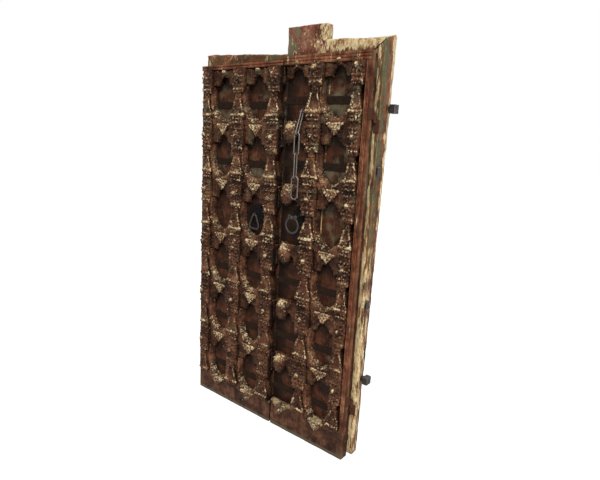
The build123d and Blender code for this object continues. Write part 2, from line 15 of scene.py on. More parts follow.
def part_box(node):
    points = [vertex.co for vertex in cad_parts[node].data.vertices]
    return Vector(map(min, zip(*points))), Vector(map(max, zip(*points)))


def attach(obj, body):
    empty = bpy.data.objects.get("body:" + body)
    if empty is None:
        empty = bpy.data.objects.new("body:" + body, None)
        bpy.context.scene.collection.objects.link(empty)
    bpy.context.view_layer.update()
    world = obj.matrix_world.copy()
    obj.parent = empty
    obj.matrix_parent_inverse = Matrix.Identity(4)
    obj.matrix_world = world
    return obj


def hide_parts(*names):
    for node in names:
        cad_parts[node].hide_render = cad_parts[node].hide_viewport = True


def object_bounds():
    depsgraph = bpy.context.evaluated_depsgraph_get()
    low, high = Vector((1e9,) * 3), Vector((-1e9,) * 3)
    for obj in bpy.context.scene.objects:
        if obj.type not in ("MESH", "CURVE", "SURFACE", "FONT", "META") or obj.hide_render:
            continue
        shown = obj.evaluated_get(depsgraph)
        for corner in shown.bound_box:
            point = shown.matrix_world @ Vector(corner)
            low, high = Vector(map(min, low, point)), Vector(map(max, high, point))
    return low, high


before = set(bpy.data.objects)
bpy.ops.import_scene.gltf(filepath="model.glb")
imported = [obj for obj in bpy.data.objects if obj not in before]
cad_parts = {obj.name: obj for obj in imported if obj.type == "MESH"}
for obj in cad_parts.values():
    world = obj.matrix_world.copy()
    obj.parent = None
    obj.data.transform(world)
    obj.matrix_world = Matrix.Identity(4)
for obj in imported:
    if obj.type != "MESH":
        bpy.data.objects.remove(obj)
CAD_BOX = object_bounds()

log = logging.getLogger("temple_door")
MM = 0.001
SEED = 7
WELD = 0.02 * MM
CRISP_ANGLE = math.radians(35)

# Sockets of the colour mix node
MIX_A = 6
MIX_B = 7
MIX_RESULT = 2

Point = tuple[float, float, float]
Span = tuple[float, float]
Material = bpy.types.Material
Mesh = bpy.types.Mesh
Node = bpy.types.Node
Object = bpy.types.Object
Socket = bpy.types.NodeSocket
Tree = bpy.types.NodeTree


@dataclass
class Coat:
    """Pale paint with painted highlights, painted shade with soiling, and green bloom at each corner of a
    mesh, from none to full.
    """

    cream: np.ndarray
    shade_and_grime: np.ndarray
    moss: np.ndarray


PaintRule = Callable[[np.ndarray, np.ndarray], Coat]


def linear(hex_colour: str) -> tuple[float, float, float, float]:
    """Turn an sRGB hex colour into linear light.

    Args:
        hex_colour: six hex digits after a hash sign.

    Returns:
        Red, green, blue and an alpha of one.
    """
    parts = [int(hex_colour[i:i + 2], 16) / 255 for i in (1, 3, 5)]
    low = [c / 12.92 if c <= 0.04045 else ((c + 0.055) / 1.055) ** 2.4 for c in parts]
    return (low[0], low[1], low[2], 1.0)


def add_node(tree: Tree, kind: str, settings: dict[str, Any] | None = None,
             inputs: dict[str | int, Any] | None = None) -> Node:
    """Add a node with its settings, and set or link its inputs.

    Args:
        tree: the tree that gets the node.
        kind: Blender's name of the node type.
        settings: properties of the node.
        inputs: value, or the socket that feeds it, for each named or numbered input.

    Returns:
        The new node.
    """
    node = tree.nodes.new(kind)
    for name, value in (settings or {}).items():
        setattr(node, name, value)
    for name, value in (inputs or {}).items():
        if isinstance(value, Socket):
            tree.links.new(value, node.inputs[name])
        else:
            node.inputs[name].default_value = value
    return node


def set_ramp(node: Node, stops: Sequence[tuple[float, str]]) -> None:
    """Set a colour ramp's stops.

    Args:
        node: the ramp.
        stops: place and hex colour of each stop, from low to high.
    """
    elements = node.color_ramp.elements
    while len(elements) < len(stops):
        elements.new(0.5)
    for element, (place, colour) in zip(elements, stops):
        element.position = place
        element.color = linear(colour)


def emptied(owner: Material | bpy.types.World) -> Tree:
    """Switch on the node tree of a material or world and empty it.

    Args:
        owner: the material or world.

    Returns:
        Its tree.
    """
    owner.use_nodes = True
    owner.node_tree.nodes.clear()
    return owner.node_tree


def placed(name: str, data: bpy.types.ID) -> Object:
    """Make an object and put it in the scene.

    Args:
        name: the object's name.
        data: its mesh, camera or lamp.

    Returns:
        The object.
    """
    thing = bpy.data.objects.new(name, data)
    bpy.context.scene.collection.objects.link(thing)
    return thing


def finished(shapes: bmesh.types.BMesh, mesh: Mesh) -> Mesh:
    """Write edited shapes into a mesh and free them.

    Args:
        shapes: the edited shapes.
        mesh: takes them.

    Returns:
        The mesh.
    """
    shapes.to_mesh(mesh)
    shapes.free()
    return mesh


class Axis(Enum):
    """The axes, as their numbers."""

    X = 0
    Y = 1
    Z = 2


class Grain(Enum):
    """Way that a timber's grain runs, as the stretch of its pattern along X, Y and Z."""

    UPRIGHT = (1.0, 1.0, 0.06)
    ACROSS = (0.06, 1.0, 1.0)


@dataclass(frozen=True)
class PaintedTimber:
    """Old hardwood under worn layers of paint.

    The eye sees a dull red-brown ground that varies in patches, pale paint left in flakes, painted shade with
    soiling in the hollows and creases, and edges worn pale that also stand as painted highlights, with only a
    faint shine.
    """

    name: str
    grounds: tuple[str, str, str, str]
    paints: tuple[str, str]
    # Near-black of painted shade in hollows and creases, and of soiling, cracks and specks
    shade_and_dirt: str
    moss: str
    # Colour of edges worn pale, which also serves as painted highlights on them
    rubbed_and_highlight: str
    grain: Grain
    flake_stretch: Point = (1.0, 1.0, 1.0)
    # Grain and specks are about a millimetre wide on real timber, and are drawn this coarse to show
    patch_mm: float = 60.0
    flake_mm: float = 16.0
    grain_mm: float = 5.0
    cream_level: float = 0.0
    moss_level: float = 0.0
    edge_wear_and_highlight: float = 0.45
    crack_level: float = 0.35
    speck_mm: float = 9.0
    speck_level: float = 0.7
    roughness: float = 0.55
    bump_mm: float = 1.4

    def material(self) -> Material:
        """Build the node material.

        Returns:
            The material.
        """
        material = bpy.data.materials.new(self.name)
        tree = emptied(material)
        place = add_node(tree, "ShaderNodeTexCoord").outputs["Object"]
        along = add_node(tree, "ShaderNodeMapping", inputs={"Vector": place, "Scale": self.grain.value})
        fibres = add_node(tree, "ShaderNodeTexNoise", inputs={
            "Vector": along.outputs["Vector"], "Scale": 1 / (self.grain_mm * MM), "Detail": 5.0,
            "Roughness": 0.7}).outputs["Fac"]
        torn = add_node(tree, "ShaderNodeMapping", inputs={"Vector": place, "Scale": self.flake_stretch})
        flakes = add_node(tree, "ShaderNodeTexNoise", inputs={
            "Vector": torn.outputs["Vector"], "Scale": 1 / (self.flake_mm * MM), "Detail": 8.0,
            "Roughness": 0.72}).outputs["Fac"]
        colour = self.ground(tree, place, fibres)
        colour = self.paint(tree, place, flakes, colour)
        colour = self.shaded_and_dirty(tree, place, fibres, colour)
        relief = add_node(tree, "ShaderNodeMath", {"operation": "MULTIPLY_ADD"}, {
            0: fibres, 1: 0.6, 2: flakes})
        bump = add_node(tree, "ShaderNodeBump", inputs={
            "Strength": 0.8, "Distance": self.bump_mm * MM, "Height": relief.outputs["Value"]})
        rough = add_node(tree, "ShaderNodeMapRange", inputs={
            "Value": flakes, "From Min": 0.3, "From Max": 0.7, "To Min": self.roughness - 0.15,
            "To Max": self.roughness + 0.2})
        shader = add_node(tree, "ShaderNodeBsdfPrincipled", inputs={
            "Base Color": colour, "Roughness": rough.outputs["Result"], "Normal": bump.outputs["Normal"],
            "Specular IOR Level": 0.08})
        add_node(tree, "ShaderNodeOutputMaterial", inputs={"Surface": shader.outputs["BSDF"]})
        return material

    def ground(self, tree: Tree, place: Socket, fibres: Socket) -> Socket:
        """The wood's own colour: patches, grain streaks and a green-grey bloom.

        Args:
            tree: the material's tree.
            place: object coordinates.
            fibres: streaks of the grain.

        Returns:
            The colour.
        """
        patches = add_node(tree, "ShaderNodeTexNoise", inputs={
            "Vector": place, "Scale": 1 / (self.patch_mm * MM), "Detail": 6.0, "Roughness": 0.65})
        ground = add_node(tree, "ShaderNodeValToRGB", inputs={"Fac": patches.outputs["Fac"]})
        set_ramp(ground, list(zip((0.32, 0.45, 0.56, 0.70), self.grounds)))
        streak = add_node(tree, "ShaderNodeMapRange", inputs={
            "Value": fibres, "From Min": 0.3, "From Max": 0.7, "To Min": 0.55, "To Max": 1.3})
        grained = add_node(tree, "ShaderNodeMix", {"data_type": "RGBA", "blend_type": "MULTIPLY"}, {
            0: 1.0, MIX_A: ground.outputs["Color"], MIX_B: streak.outputs["Result"]})
        bloom = add_node(tree, "ShaderNodeTexNoise", inputs={
            "Vector": place, "Scale": 1.4 / (self.patch_mm * MM), "Detail": 5.0})
        moss = add_node(tree, "ShaderNodeAttribute", {"attribute_name": "moss"})
        wanted = add_node(tree, "ShaderNodeMath", {"operation": "MULTIPLY_ADD"}, {
            0: moss.outputs["Fac"], 1: 0.5, 2: bloom.outputs["Fac"]})
        share = add_node(tree, "ShaderNodeMapRange", inputs={
            "Value": wanted.outputs["Value"], "From Min": 0.66 - self.moss_level,
            "From Max": 0.88 - self.moss_level, "To Min": 0.0, "To Max": 0.9})
        mossy = add_node(tree, "ShaderNodeMix", {"data_type": "RGBA"}, {
            0: share.outputs["Result"], MIX_A: grained.outputs[MIX_RESULT], MIX_B: linear(self.moss)})
        return mossy.outputs[MIX_RESULT]

    def paint(self, tree: Tree, place: Socket, flakes: Socket, ground: Socket) -> Socket:
        """Flakes of pale paint over the ground, thick where the piece's own cream attribute is high.

        Args:
            tree: the material's tree.
            place: object coordinates.
            flakes: pattern of the flakes.
            ground: the colour under the paint.

        Returns:
            The colour.
        """
        cream = add_node(tree, "ShaderNodeAttribute", {"attribute_name": "cream"})
        margin = add_node(tree, "ShaderNodeMath", {"operation": "MULTIPLY_ADD"}, {
            0: cream.outputs["Fac"], 1: 0.44, 2: flakes})
        flaked = add_node(tree, "ShaderNodeMapRange", {"interpolation_type": "SMOOTHSTEP"}, {
            "Value": margin.outputs["Value"], "From Min": 0.70 - self.cream_level,
            "From Max": 0.81 - self.cream_level, "To Min": 0.0, "To Max": 0.92})
        tone = add_node(tree, "ShaderNodeTexNoise", inputs={
            "Vector": place, "Scale": 2 / (self.patch_mm * MM), "Detail": 6.0, "Roughness": 0.7})
        tone_share = add_node(tree, "ShaderNodeMapRange", inputs={
            "Value": tone.outputs["Fac"], "From Min": 0.35, "From Max": 0.65})
        paint_tone = add_node(tree, "ShaderNodeMix", {"data_type": "RGBA"}, {
            0: tone_share.outputs["Result"], MIX_A: linear(self.paints[0]), MIX_B: linear(self.paints[1])})
        painted = add_node(tree, "ShaderNodeMix", {"data_type": "RGBA"}, {
            0: flaked.outputs["Result"], MIX_A: ground, MIX_B: paint_tone.outputs[MIX_RESULT]})
        return painted.outputs[MIX_RESULT]

    def shaded_and_dirty(self, tree: Tree, place: Socket, fibres: Socket, colour: Socket) -> Socket:
        """Wear edges pale, also as painted highlights; paint shade into hollows and creases; darken cracks
        and specks.

        Args:
            tree: the material's tree.
            place: object coordinates.
            fibres: streaks of the grain.
            colour: the colour before wear.

        Returns:
            The colour.
        """
        shape = add_node(tree, "ShaderNodeNewGeometry")
        # Pointed edges turn pale: wear and painted highlights
        edges = add_node(tree, "ShaderNodeMapRange", inputs={
            "Value": shape.outputs["Pointiness"], "From Min": 0.53, "From Max": 0.62, "To Min": 0.0,
            "To Max": self.edge_wear_and_highlight})
        rubbed_and_highlight = add_node(tree, "ShaderNodeMix", {"data_type": "RGBA"}, {
            0: edges.outputs["Result"], MIX_A: colour, MIX_B: linear(self.rubbed_and_highlight)})
        # Ambient occlusion darkens the hollows: painted shade
        ambient_shade = add_node(tree, "ShaderNodeAmbientOcclusion", {"samples": 6}, {"Distance": 0.06})
        spots = add_node(tree, "ShaderNodeTexNoise", inputs={
            "Vector": place, "Scale": 1 / (self.speck_mm * MM), "Detail": 3.0, "Roughness": 0.6})
        # Attribute of painted shade, with some soiling, written by the paint rules
        share = add_node(tree, "ShaderNodeAttribute", {"attribute_name": "shade_and_grime"}).outputs["Fac"]
        # Low pointiness darkens creases and ambient occlusion darkens hollows, both painted shade; fibres and
        # spots give dark cracks and specks
        for source, dark, clean, most in ((shape.outputs["Pointiness"], 0.42, 0.49, 0.92),
                                          (ambient_shade.outputs["AO"], 0.15, 0.80, 0.9),
                                          (fibres, 0.30, 0.40, self.crack_level),
                                          (spots.outputs["Fac"], 0.30, 0.42, self.speck_level)):
            mask = add_node(tree, "ShaderNodeMapRange", inputs={
                "Value": source, "From Min": dark, "From Max": clean, "To Min": most, "To Max": 0.0})
            share = add_node(tree, "ShaderNodeMath", {"operation": "MAXIMUM"}, {
                0: share, 1: mask.outputs["Result"]}).outputs["Value"]
        shaded_and_dirty = add_node(tree, "ShaderNodeMix", {"data_type": "RGBA"}, {
            0: share, MIX_A: rubbed_and_highlight.outputs[MIX_RESULT], MIX_B: linear(self.shade_and_dirt)})
        return shaded_and_dirty.outputs[MIX_RESULT]


@dataclass(frozen=True)
class ForgedIron:
    """Hand-forged iron with a dark fire scale.

    The eye sees a blackish grey metal with brown rust in patches, small pits, and pale edges that are both
    wear and painted highlights.
    """

    name: str
    scale: str
    rust: str
    # Colour of edges rubbed bright, which also serves as painted highlights on them
    bright_and_highlight: str
    # Pits in fire scale are under a millimetre wide, and are drawn this coarse to show
    patch_mm: float = 25.0
    pit_mm: float = 3.0
    rust_level: float = 0.6
    edge_wear_and_highlight: float = 0.7
    roughness: float = 0.5
    metal: float = 0.6
    shine: float = 0.5

    def material(self) -> Material:
        """Build the node material.

        Returns:
            The material.
        """
        material = bpy.data.materials.new(self.name)
        tree = emptied(material)
        place = add_node(tree, "ShaderNodeTexCoord").outputs["Object"]
        patches = add_node(tree, "ShaderNodeTexNoise", inputs={
            "Vector": place, "Scale": 1 / (self.patch_mm * MM), "Detail": 7.0, "Roughness": 0.7})
        rusty = add_node(tree, "ShaderNodeMapRange", inputs={
            "Value": patches.outputs["Fac"], "From Min": 0.46, "From Max": 0.62, "To Min": 0.0,
            "To Max": self.rust_level})
        body = add_node(tree, "ShaderNodeMix", {"data_type": "RGBA"}, {
            0: rusty.outputs["Result"], MIX_A: linear(self.scale), MIX_B: linear(self.rust)})
        shape = add_node(tree, "ShaderNodeNewGeometry")
        # Pointed edges turn bright: wear and painted highlights
        edges = add_node(tree, "ShaderNodeMapRange", inputs={
            "Value": shape.outputs["Pointiness"], "From Min": 0.52, "From Max": 0.60, "To Min": 0.0,
            "To Max": self.edge_wear_and_highlight})
        worn = add_node(tree, "ShaderNodeMix", {"data_type": "RGBA"}, {
            0: edges.outputs["Result"], MIX_A: body.outputs[MIX_RESULT],
            MIX_B: linear(self.bright_and_highlight)})
        metal = add_node(tree, "ShaderNodeMapRange", inputs={
            "Value": rusty.outputs["Result"], "From Min": 0.0, "From Max": 1.0, "To Min": self.metal,
            "To Max": self.metal / 4})
        rough = add_node(tree, "ShaderNodeMapRange", inputs={
            "Value": patches.outputs["Fac"], "From Min": 0.3, "From Max": 0.7,
            "To Min": self.roughness - 0.12, "To Max": self.roughness + 0.25})
        pits = add_node(tree, "ShaderNodeTexNoise", inputs={
            "Vector": place, "Scale": 1 / (self.pit_mm * MM), "Detail": 4.0})
        bump = add_node(tree, "ShaderNodeBump", inputs={
            "Strength": 0.5, "Distance": 0.5 * MM, "Height": pits.outputs["Fac"]})
        shader = add_node(tree, "ShaderNodeBsdfPrincipled", inputs={
            "Base Color": worn.outputs[MIX_RESULT], "Metallic": metal.outputs["Result"],
            "Roughness": rough.outputs["Result"], "Normal": bump.outputs["Normal"],
            "Specular IOR Level": self.shine})
        add_node(tree, "ShaderNodeOutputMaterial", inputs={"Surface": shader.outputs["BSDF"]})
        return material


class Ornament(Enum):
    """Cut shapes that repeat over the carving."""

    DOME = 0
    DIAMOND = 1
    ROLL = 2
    BAR = 3


def input_id(tree: Tree, name: str) -> str:
    """Identifier of a tree's named input.

    Args:
        tree: the geometry tree.
        name: the input's name.

    Returns:
        The socket's identifier.
    """
    return next(item.identifier for item in tree.interface.items_tree
                if item.item_type == "SOCKET" and item.in_out == "INPUT" and item.name == name)


def new_tree(name: str, inputs: Sequence[tuple[str, str]]) -> tuple[Tree, Node]:
    """Start a geometry tree with a geometry in and out and further named inputs.

    Args:
        name: the tree's name.
        inputs: name and socket type of each further input.

    Returns:
        The tree and its input node.
    """
    tree = bpy.data.node_groups.new(name, "GeometryNodeTree")
    tree.interface.new_socket("Geometry", in_out="INPUT", socket_type="NodeSocketGeometry")
    for label, kind in inputs:
        tree.interface.new_socket(label, in_out="INPUT", socket_type=kind)
    tree.interface.new_socket("Geometry", in_out="OUTPUT", socket_type="NodeSocketGeometry")
    return tree, add_node(tree, "NodeGroupInput")


def end_tree(tree: Tree, geometry: Socket, material: Socket) -> Tree:
    """End a geometry tree in real, dressed geometry.

    Args:
        tree: the tree.
        geometry: what it made.
        material: the tree's material input.

    Returns:
        The tree.
    """
    real = add_node(tree, "GeometryNodeRealizeInstances", inputs={"Geometry": geometry})
    dressed = add_node(tree, "GeometryNodeSetMaterial", inputs={
        "Geometry": real.outputs["Geometry"], "Material": material})
    add_node(tree, "NodeGroupOutput", inputs={"Geometry": dressed.outputs["Geometry"]})
    return tree


def ornament_tree() -> Tree:
    """Geometry tree that sets a cut shape on each point, by the point's kind, size and turn.

    Returns:
        The tree.
    """
    tree, start = new_tree("carved_ornaments", [("Facets", "NodeSocketInt"),
                                                ("Material", "NodeSocketMaterial")])
    facets = start.outputs["Facets"]
    shapes = {
        Ornament.DOME: add_node(tree, "GeometryNodeMeshUVSphere", inputs={
            "Segments": facets, "Rings": 8, "Radius": 1.0}),
        Ornament.DIAMOND: add_node(tree, "GeometryNodeMeshCone", inputs={
            "Vertices": 4, "Radius Top": 0.0, "Radius Bottom": 1.0, "Depth": 1.0}),
        Ornament.ROLL: add_node(tree, "GeometryNodeMeshCylinder", inputs={
            "Vertices": facets, "Radius": 1.0, "Depth": 2.0}),
        Ornament.BAR: add_node(tree, "GeometryNodeMeshCube", inputs={"Size": (2.0, 2.0, 2.0)}),
    }
    kind = add_node(tree, "GeometryNodeInputNamedAttribute", {"data_type": "INT"}, {"Name": "kind"})
    size = add_node(tree, "GeometryNodeInputNamedAttribute", {"data_type": "FLOAT_VECTOR"}, {"Name": "size"})
    turn = add_node(tree, "GeometryNodeInputNamedAttribute", {"data_type": "FLOAT_VECTOR"}, {"Name": "turn"})
    rotation = add_node(tree, "FunctionNodeEulerToRotation", inputs={"Euler": turn.outputs["Attribute"]})
    joined = add_node(tree, "GeometryNodeJoinGeometry")
    for ornament, shape in shapes.items():
        chosen = add_node(tree, "FunctionNodeCompare", {"data_type": "INT", "operation": "EQUAL"}, {
            2: kind.outputs["Attribute"], 3: ornament.value})
        spread = add_node(tree, "GeometryNodeInstanceOnPoints", inputs={
            "Points": start.outputs["Geometry"], "Selection": chosen.outputs["Result"],
            "Instance": shape.outputs["Mesh"], "Rotation": rotation.outputs["Rotation"],
            "Scale": size.outputs["Attribute"]})
        tree.links.new(spread.outputs["Instances"], joined.inputs["Geometry"])
    return end_tree(tree, joined.outputs["Geometry"], start.outputs["Material"])


def bar_tree() -> Tree:
    """Geometry tree that forges a round bar along a line of edges, as thick as its points say.

    Returns:
        The tree.
    """
    tree, start = new_tree("forged_bar", [("Sides", "NodeSocketInt"), ("Material", "NodeSocketMaterial")])
    path = add_node(tree, "GeometryNodeMeshToCurve", inputs={"Mesh": start.outputs["Geometry"]})
    thick = add_node(tree, "GeometryNodeInputNamedAttribute", {"data_type": "FLOAT"}, {"Name": "thick"})
    section = add_node(tree, "GeometryNodeCurvePrimitiveCircle", inputs={
        "Resolution": start.outputs["Sides"], "Radius": 1.0})
    bar = add_node(tree, "GeometryNodeCurveToMesh", inputs={
        "Curve": path.outputs["Curve"], "Profile Curve": section.outputs["Curve"],
        "Scale": thick.outputs["Attribute"], "Fill Caps": True})
    return end_tree(tree, bar.outputs["Mesh"], start.outputs["Material"])


def evaluated(mesh: Mesh, dress: Callable[[Object], None]) -> Mesh:
    """Run modifiers over a mesh and keep the result as a plain mesh.

    Args:
        mesh: the start.
        dress: adds the modifiers to a working object.

    Returns:
        The finished mesh.
    """
    worker = placed("worker", mesh)
    dress(worker)
    graph = bpy.context.evaluated_depsgraph_get()
    result = bpy.data.meshes.new_from_object(worker.evaluated_get(graph))
    bpy.data.objects.remove(worker)
    return result


def run_tree(mesh: Mesh, tree: Tree, values: dict[str, Any]) -> Mesh:
    """Run a geometry tree over a mesh.

    Args:
        mesh: the points or edges that the tree starts from.
        tree: the geometry tree.
        values: value of each named input.

    Returns:
        The finished mesh.
    """
    def dress(worker: Object) -> None:
        """Add the tree with its inputs set by identifier."""
        modifier = worker.modifiers.new(tree.name, "NODES")
        modifier.node_group = tree
        for name, value in values.items():
            modifier[input_id(tree, name)] = value

    return evaluated(mesh, dress)


@dataclass(frozen=True)
class Finishes:
    """The materials of the door."""

    carved: Material
    plank: Material
    jamb: Material
    head: Material
    crest: Material
    moulding: Material
    iron: Material
    chain: Material
    strap: Material
    plate: Material
    rusted: Material


@dataclass(frozen=True)
class Workshop:
    """The finishes and geometry trees that every part of the door is made with."""

    finishes: Finishes
    ornaments: Tree
    bars: Tree
    facets: int = 12


@dataclass
class OrnamentBed:
    """Places of the cut shapes that dress one piece, in millimetres."""

    kinds: list[int] = field(default_factory=list)
    places: list[Point] = field(default_factory=list)
    sizes: list[Point] = field(default_factory=list)
    turns: list[Point] = field(default_factory=list)

    def add(self, ornament: Ornament, place: Point, half: Point, turn: Point = (0.0, 0.0, 0.0)) -> None:
        """Set one shape.

        Args:
            ornament: which shape.
            place: its middle.
            half: its half sizes along its own axes.
            turn: its turn about X, Y and Z, in radians.
        """
        self.kinds.append(ornament.value)
        self.places.append(place)
        self.sizes.append(half)
        self.turns.append(turn)

    def dome(self, place: Point, half: Point, lean: float = 0.0) -> None:
        """Set a rounded knob, leaning about the way it faces."""
        self.add(Ornament.DOME, place, half, (0.0, lean, 0.0))

    def diamond(self, place: Point, half_x: float, half_z: float, rise: float) -> None:
        """Set a four-sided chip that points to the front."""
        self.add(Ornament.DIAMOND, place, (half_x, half_z, rise), (math.pi / 2, 0.0, 0.0))

    def roll(self, place: Point, half_length: float, radius: float) -> None:
        """Set a round bead that runs across."""
        self.add(Ornament.ROLL, place, (radius, radius, half_length), (0.0, math.pi / 2, 0.0))

    def bar(self, place: Point, half: Point, lean: float = 0.0) -> None:
        """Set a square strip, leaning about the way it faces."""
        self.add(Ornament.BAR, place, half, (0.0, lean, 0.0))

    def mesh(self, shop: Workshop) -> Mesh:
        """Make the shapes.

        Args:
            shop: has the ornament tree and the facets of each round shape.

        Returns:
            All the shapes in one mesh, in metres.
        """
        points = bpy.data.meshes.new("ornament_points")
        points.from_pydata([Vector(p) * MM for p in self.places], [], [])
        points.attributes.new("kind", "INT", "POINT").data.foreach_set("value", self.kinds)
        for name, rows in (("size", np.array(self.sizes) * MM), ("turn", np.array(self.turns))):
            points.attributes.new(name, "FLOAT_VECTOR", "POINT").data.foreach_set(
                "vector", rows.astype(np.float32).ravel())
        return run_tree(points, shop.ornaments, {"Facets": shop.facets})

    def on_node(self, node: str, shop: Workshop) -> Mesh:
        """The shapes together with the solids of the node that they are set on."""
        return joined(node_mesh(node), self.mesh(shop))


@dataclass(frozen=True)
class Weathering:
    """How far tools and years of use have cut, rounded and chipped a timber, in millimetres.

    With no voxel size the shapes aren't fused, and with no cell size no filigree is cut.
    """

    voxel_mm: float
    soften: int
    hewn_mm: float
    hewn_size_mm: float
    chip_mm: float
    chip_size_mm: float
    cell_mm: float = 0.0
    cell_depth_mm: float = 7.0

    def apply(self, mesh: Mesh) -> Mesh:
        """Fuse a mesh's closed shapes into one skin and wear it.

        Args:
            mesh: the sharp shapes.

        Returns:
            The worn skin.
        """
        def dress(worker: Object) -> None:
            """Add the remesh, the softening, the filigree and the two displacements."""
            if self.voxel_mm:
                fuse = worker.modifiers.new("fuse", "REMESH")
                fuse.mode = "VOXEL"
                fuse.voxel_size = self.voxel_mm * MM
                soft = worker.modifiers.new("soften", "SMOOTH")
                soft.factor = 0.5
                soft.iterations = self.soften
            if self.cell_mm:
                cells = bpy.data.textures.new("filigree", "VORONOI")
                cells.noise_scale = self.cell_mm * MM
                cells.weight_1, cells.weight_2 = -1.0, 1.0
                cells.noise_intensity = 2.5
                cut = worker.modifiers.new("filigree", "DISPLACE")
                cut.texture = cells
                cut.texture_coords = "LOCAL"
                cut.strength = self.cell_depth_mm * MM
                cut.mid_level = 0.35
            for name, depth, size in (("hewn", self.hewn_mm, self.hewn_size_mm),
                                      ("chips", self.chip_mm, self.chip_size_mm)):
                texture = bpy.data.textures.new(name, "CLOUDS")
                texture.noise_scale = size * MM
                texture.noise_depth = 2
                wear = worker.modifiers.new(name, "DISPLACE")
                wear.texture = texture
                wear.texture_coords = "LOCAL"
                wear.strength = depth * MM
                wear.mid_level = 0.55

        return evaluated(mesh, dress)


def node_mesh(node: str) -> Mesh:
    """A welded copy of a node's solids.

    Args:
        node: the node's name.

    Returns:
        The copy.
    """
    shapes = bmesh.new()
    shapes.from_mesh(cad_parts[node].data)
    bmesh.ops.remove_doubles(shapes, verts=shapes.verts, dist=WELD)
    return finished(shapes, bpy.data.meshes.new("welded"))


def joined(*meshes: Mesh) -> Mesh:
    """Put several meshes into one.

    Args:
        meshes: the meshes.

    Returns:
        The one mesh.
    """
    shapes = bmesh.new()
    for mesh in meshes:
        shapes.from_mesh(mesh)
    return finished(shapes, bpy.data.meshes.new("joined"))


def add_piece(name: str, mesh: Mesh, body: str, material: Material,
              nodes: Sequence[str] = (), crisp: bool = False) -> None:
    """Make a mesh a piece of the door that rides on a body.

    Args:
        name: the piece's name.
        mesh: its shape, in place.
        body: the body that it rides on.
        material: its finish.
        nodes: the solids that it stands for.
        crisp: whether its hard edges stay sharp to the eye.
    """
    mesh.name = name
    mesh.materials.clear()
    mesh.materials.append(material)
    mesh.polygons.foreach_set("use_smooth", [True] * len(mesh.polygons))
    if crisp:
        mesh.set_sharp_from_angle(angle=CRISP_ANGLE)
    piece = placed(name, mesh)
    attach(piece, body)
    if nodes:
        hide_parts(*nodes)
    log.info("%s: %d faces on %s", name, len(mesh.polygons), body)


def dress_node(node: str, material: Material) -> None:
    """Give a solid that stays in view its finish.

    Args:
        node: the node's name.
        material: its finish.
    """
    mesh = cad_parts[node].data
    mesh.materials.clear()
    mesh.materials.append(material)
    log.info("%s: dressed in %s", node, material.name)


def bevelled(mesh: Mesh, width_mm: float) -> Mesh:
    """Round off a mesh's sharp edges.

    Args:
        mesh: the sharp shape.
        width_mm: width of the rounding.

    Returns:
        The rounded shape.
    """
    def dress(worker: Object) -> None:
        """Add the bevel."""
        bevel = worker.modifiers.new("rounded", "BEVEL")
        bevel.width = width_mm * MM
        bevel.segments = 2
        bevel.limit_method = "ANGLE"

    return evaluated(mesh, dress)


def sliced(mesh: Mesh, axis: Axis, places: Sequence[float]) -> Mesh:
    """Cut a mesh across at places along an axis, so that its paint and wear can change there.

    Args:
        mesh: the shape.
        axis: the axis.
        places: where to cut, in millimetres.

    Returns:
        The same mesh with more corners.
    """
    shapes = bmesh.new()
    shapes.from_mesh(mesh)
    normal = [float(axis == other) for other in Axis]
    for place in places:
        point = Vector(normal) * place * MM
        bmesh.ops.bisect_plane(shapes, geom=[*shapes.verts, *shapes.edges, *shapes.faces], plane_co=point,
                               plane_no=normal)
    return finished(shapes, mesh)


def ease(values: np.ndarray, low: float, high: float) -> np.ndarray:
    """Ease from zero at low to one at high.

    Args:
        values: the values.
        low: where the rise starts.
        high: where it ends.

    Returns:
        The eased values.
    """
    share = np.clip((values - low) / (high - low), 0, 1)
    return share * share * (3 - 2 * share)


def waver(place: np.ndarray, size_mm: float) -> np.ndarray:
    """Slow irregular waves over a surface.

    Args:
        place: each corner's place.
        size_mm: length of the waves.

    Returns:
        Values from minus one to one.
    """
    x, y, z = place.T * 2 * math.pi / size_mm
    return (np.sin(x + 0.6 * z + SEED) + np.sin(1.7 * z - 0.8 * x) + np.sin(0.9 * y + 1.3 * x - 2.1 * z)) / 3


def paint_mesh(mesh: Mesh, rule: PaintRule) -> Mesh:
    """Write a mesh's paint attributes by a rule on places and normals.

    Args:
        mesh: the finished mesh.
        rule: takes places in millimetres and normals, gives the coat.

    Returns:
        The mesh.
    """
    count = len(mesh.vertices)
    places = np.zeros(count * 3, np.float32)
    normals = np.zeros(count * 3, np.float32)
    mesh.vertices.foreach_get("co", places)
    mesh.vertex_normals.foreach_get("vector", normals)
    coat = rule(places.reshape(-1, 3) / MM, normals.reshape(-1, 3))
    for name, values in (("cream", coat.cream), ("shade_and_grime", coat.shade_and_grime), ("moss", coat.moss)):
        mesh.attributes.new(name, "FLOAT", "POINT").data.foreach_set(
            "value", np.clip(values, 0, 1).astype(np.float32))
    return mesh


def narrowed(size: Point, share: float) -> Point:
    """A shape's size with its width cut to a share."""
    return (size[0] * share, size[1], size[2])


@dataclass
class Column:
    """One carved column: its node, middle line, width against the others, any strip beside it, and where a
    seam shadow is painted.
    """

    node: str
    x: float
    share: float = 1.0
    strip_x: float | None = None
    seam_shadow_x: float | None = None


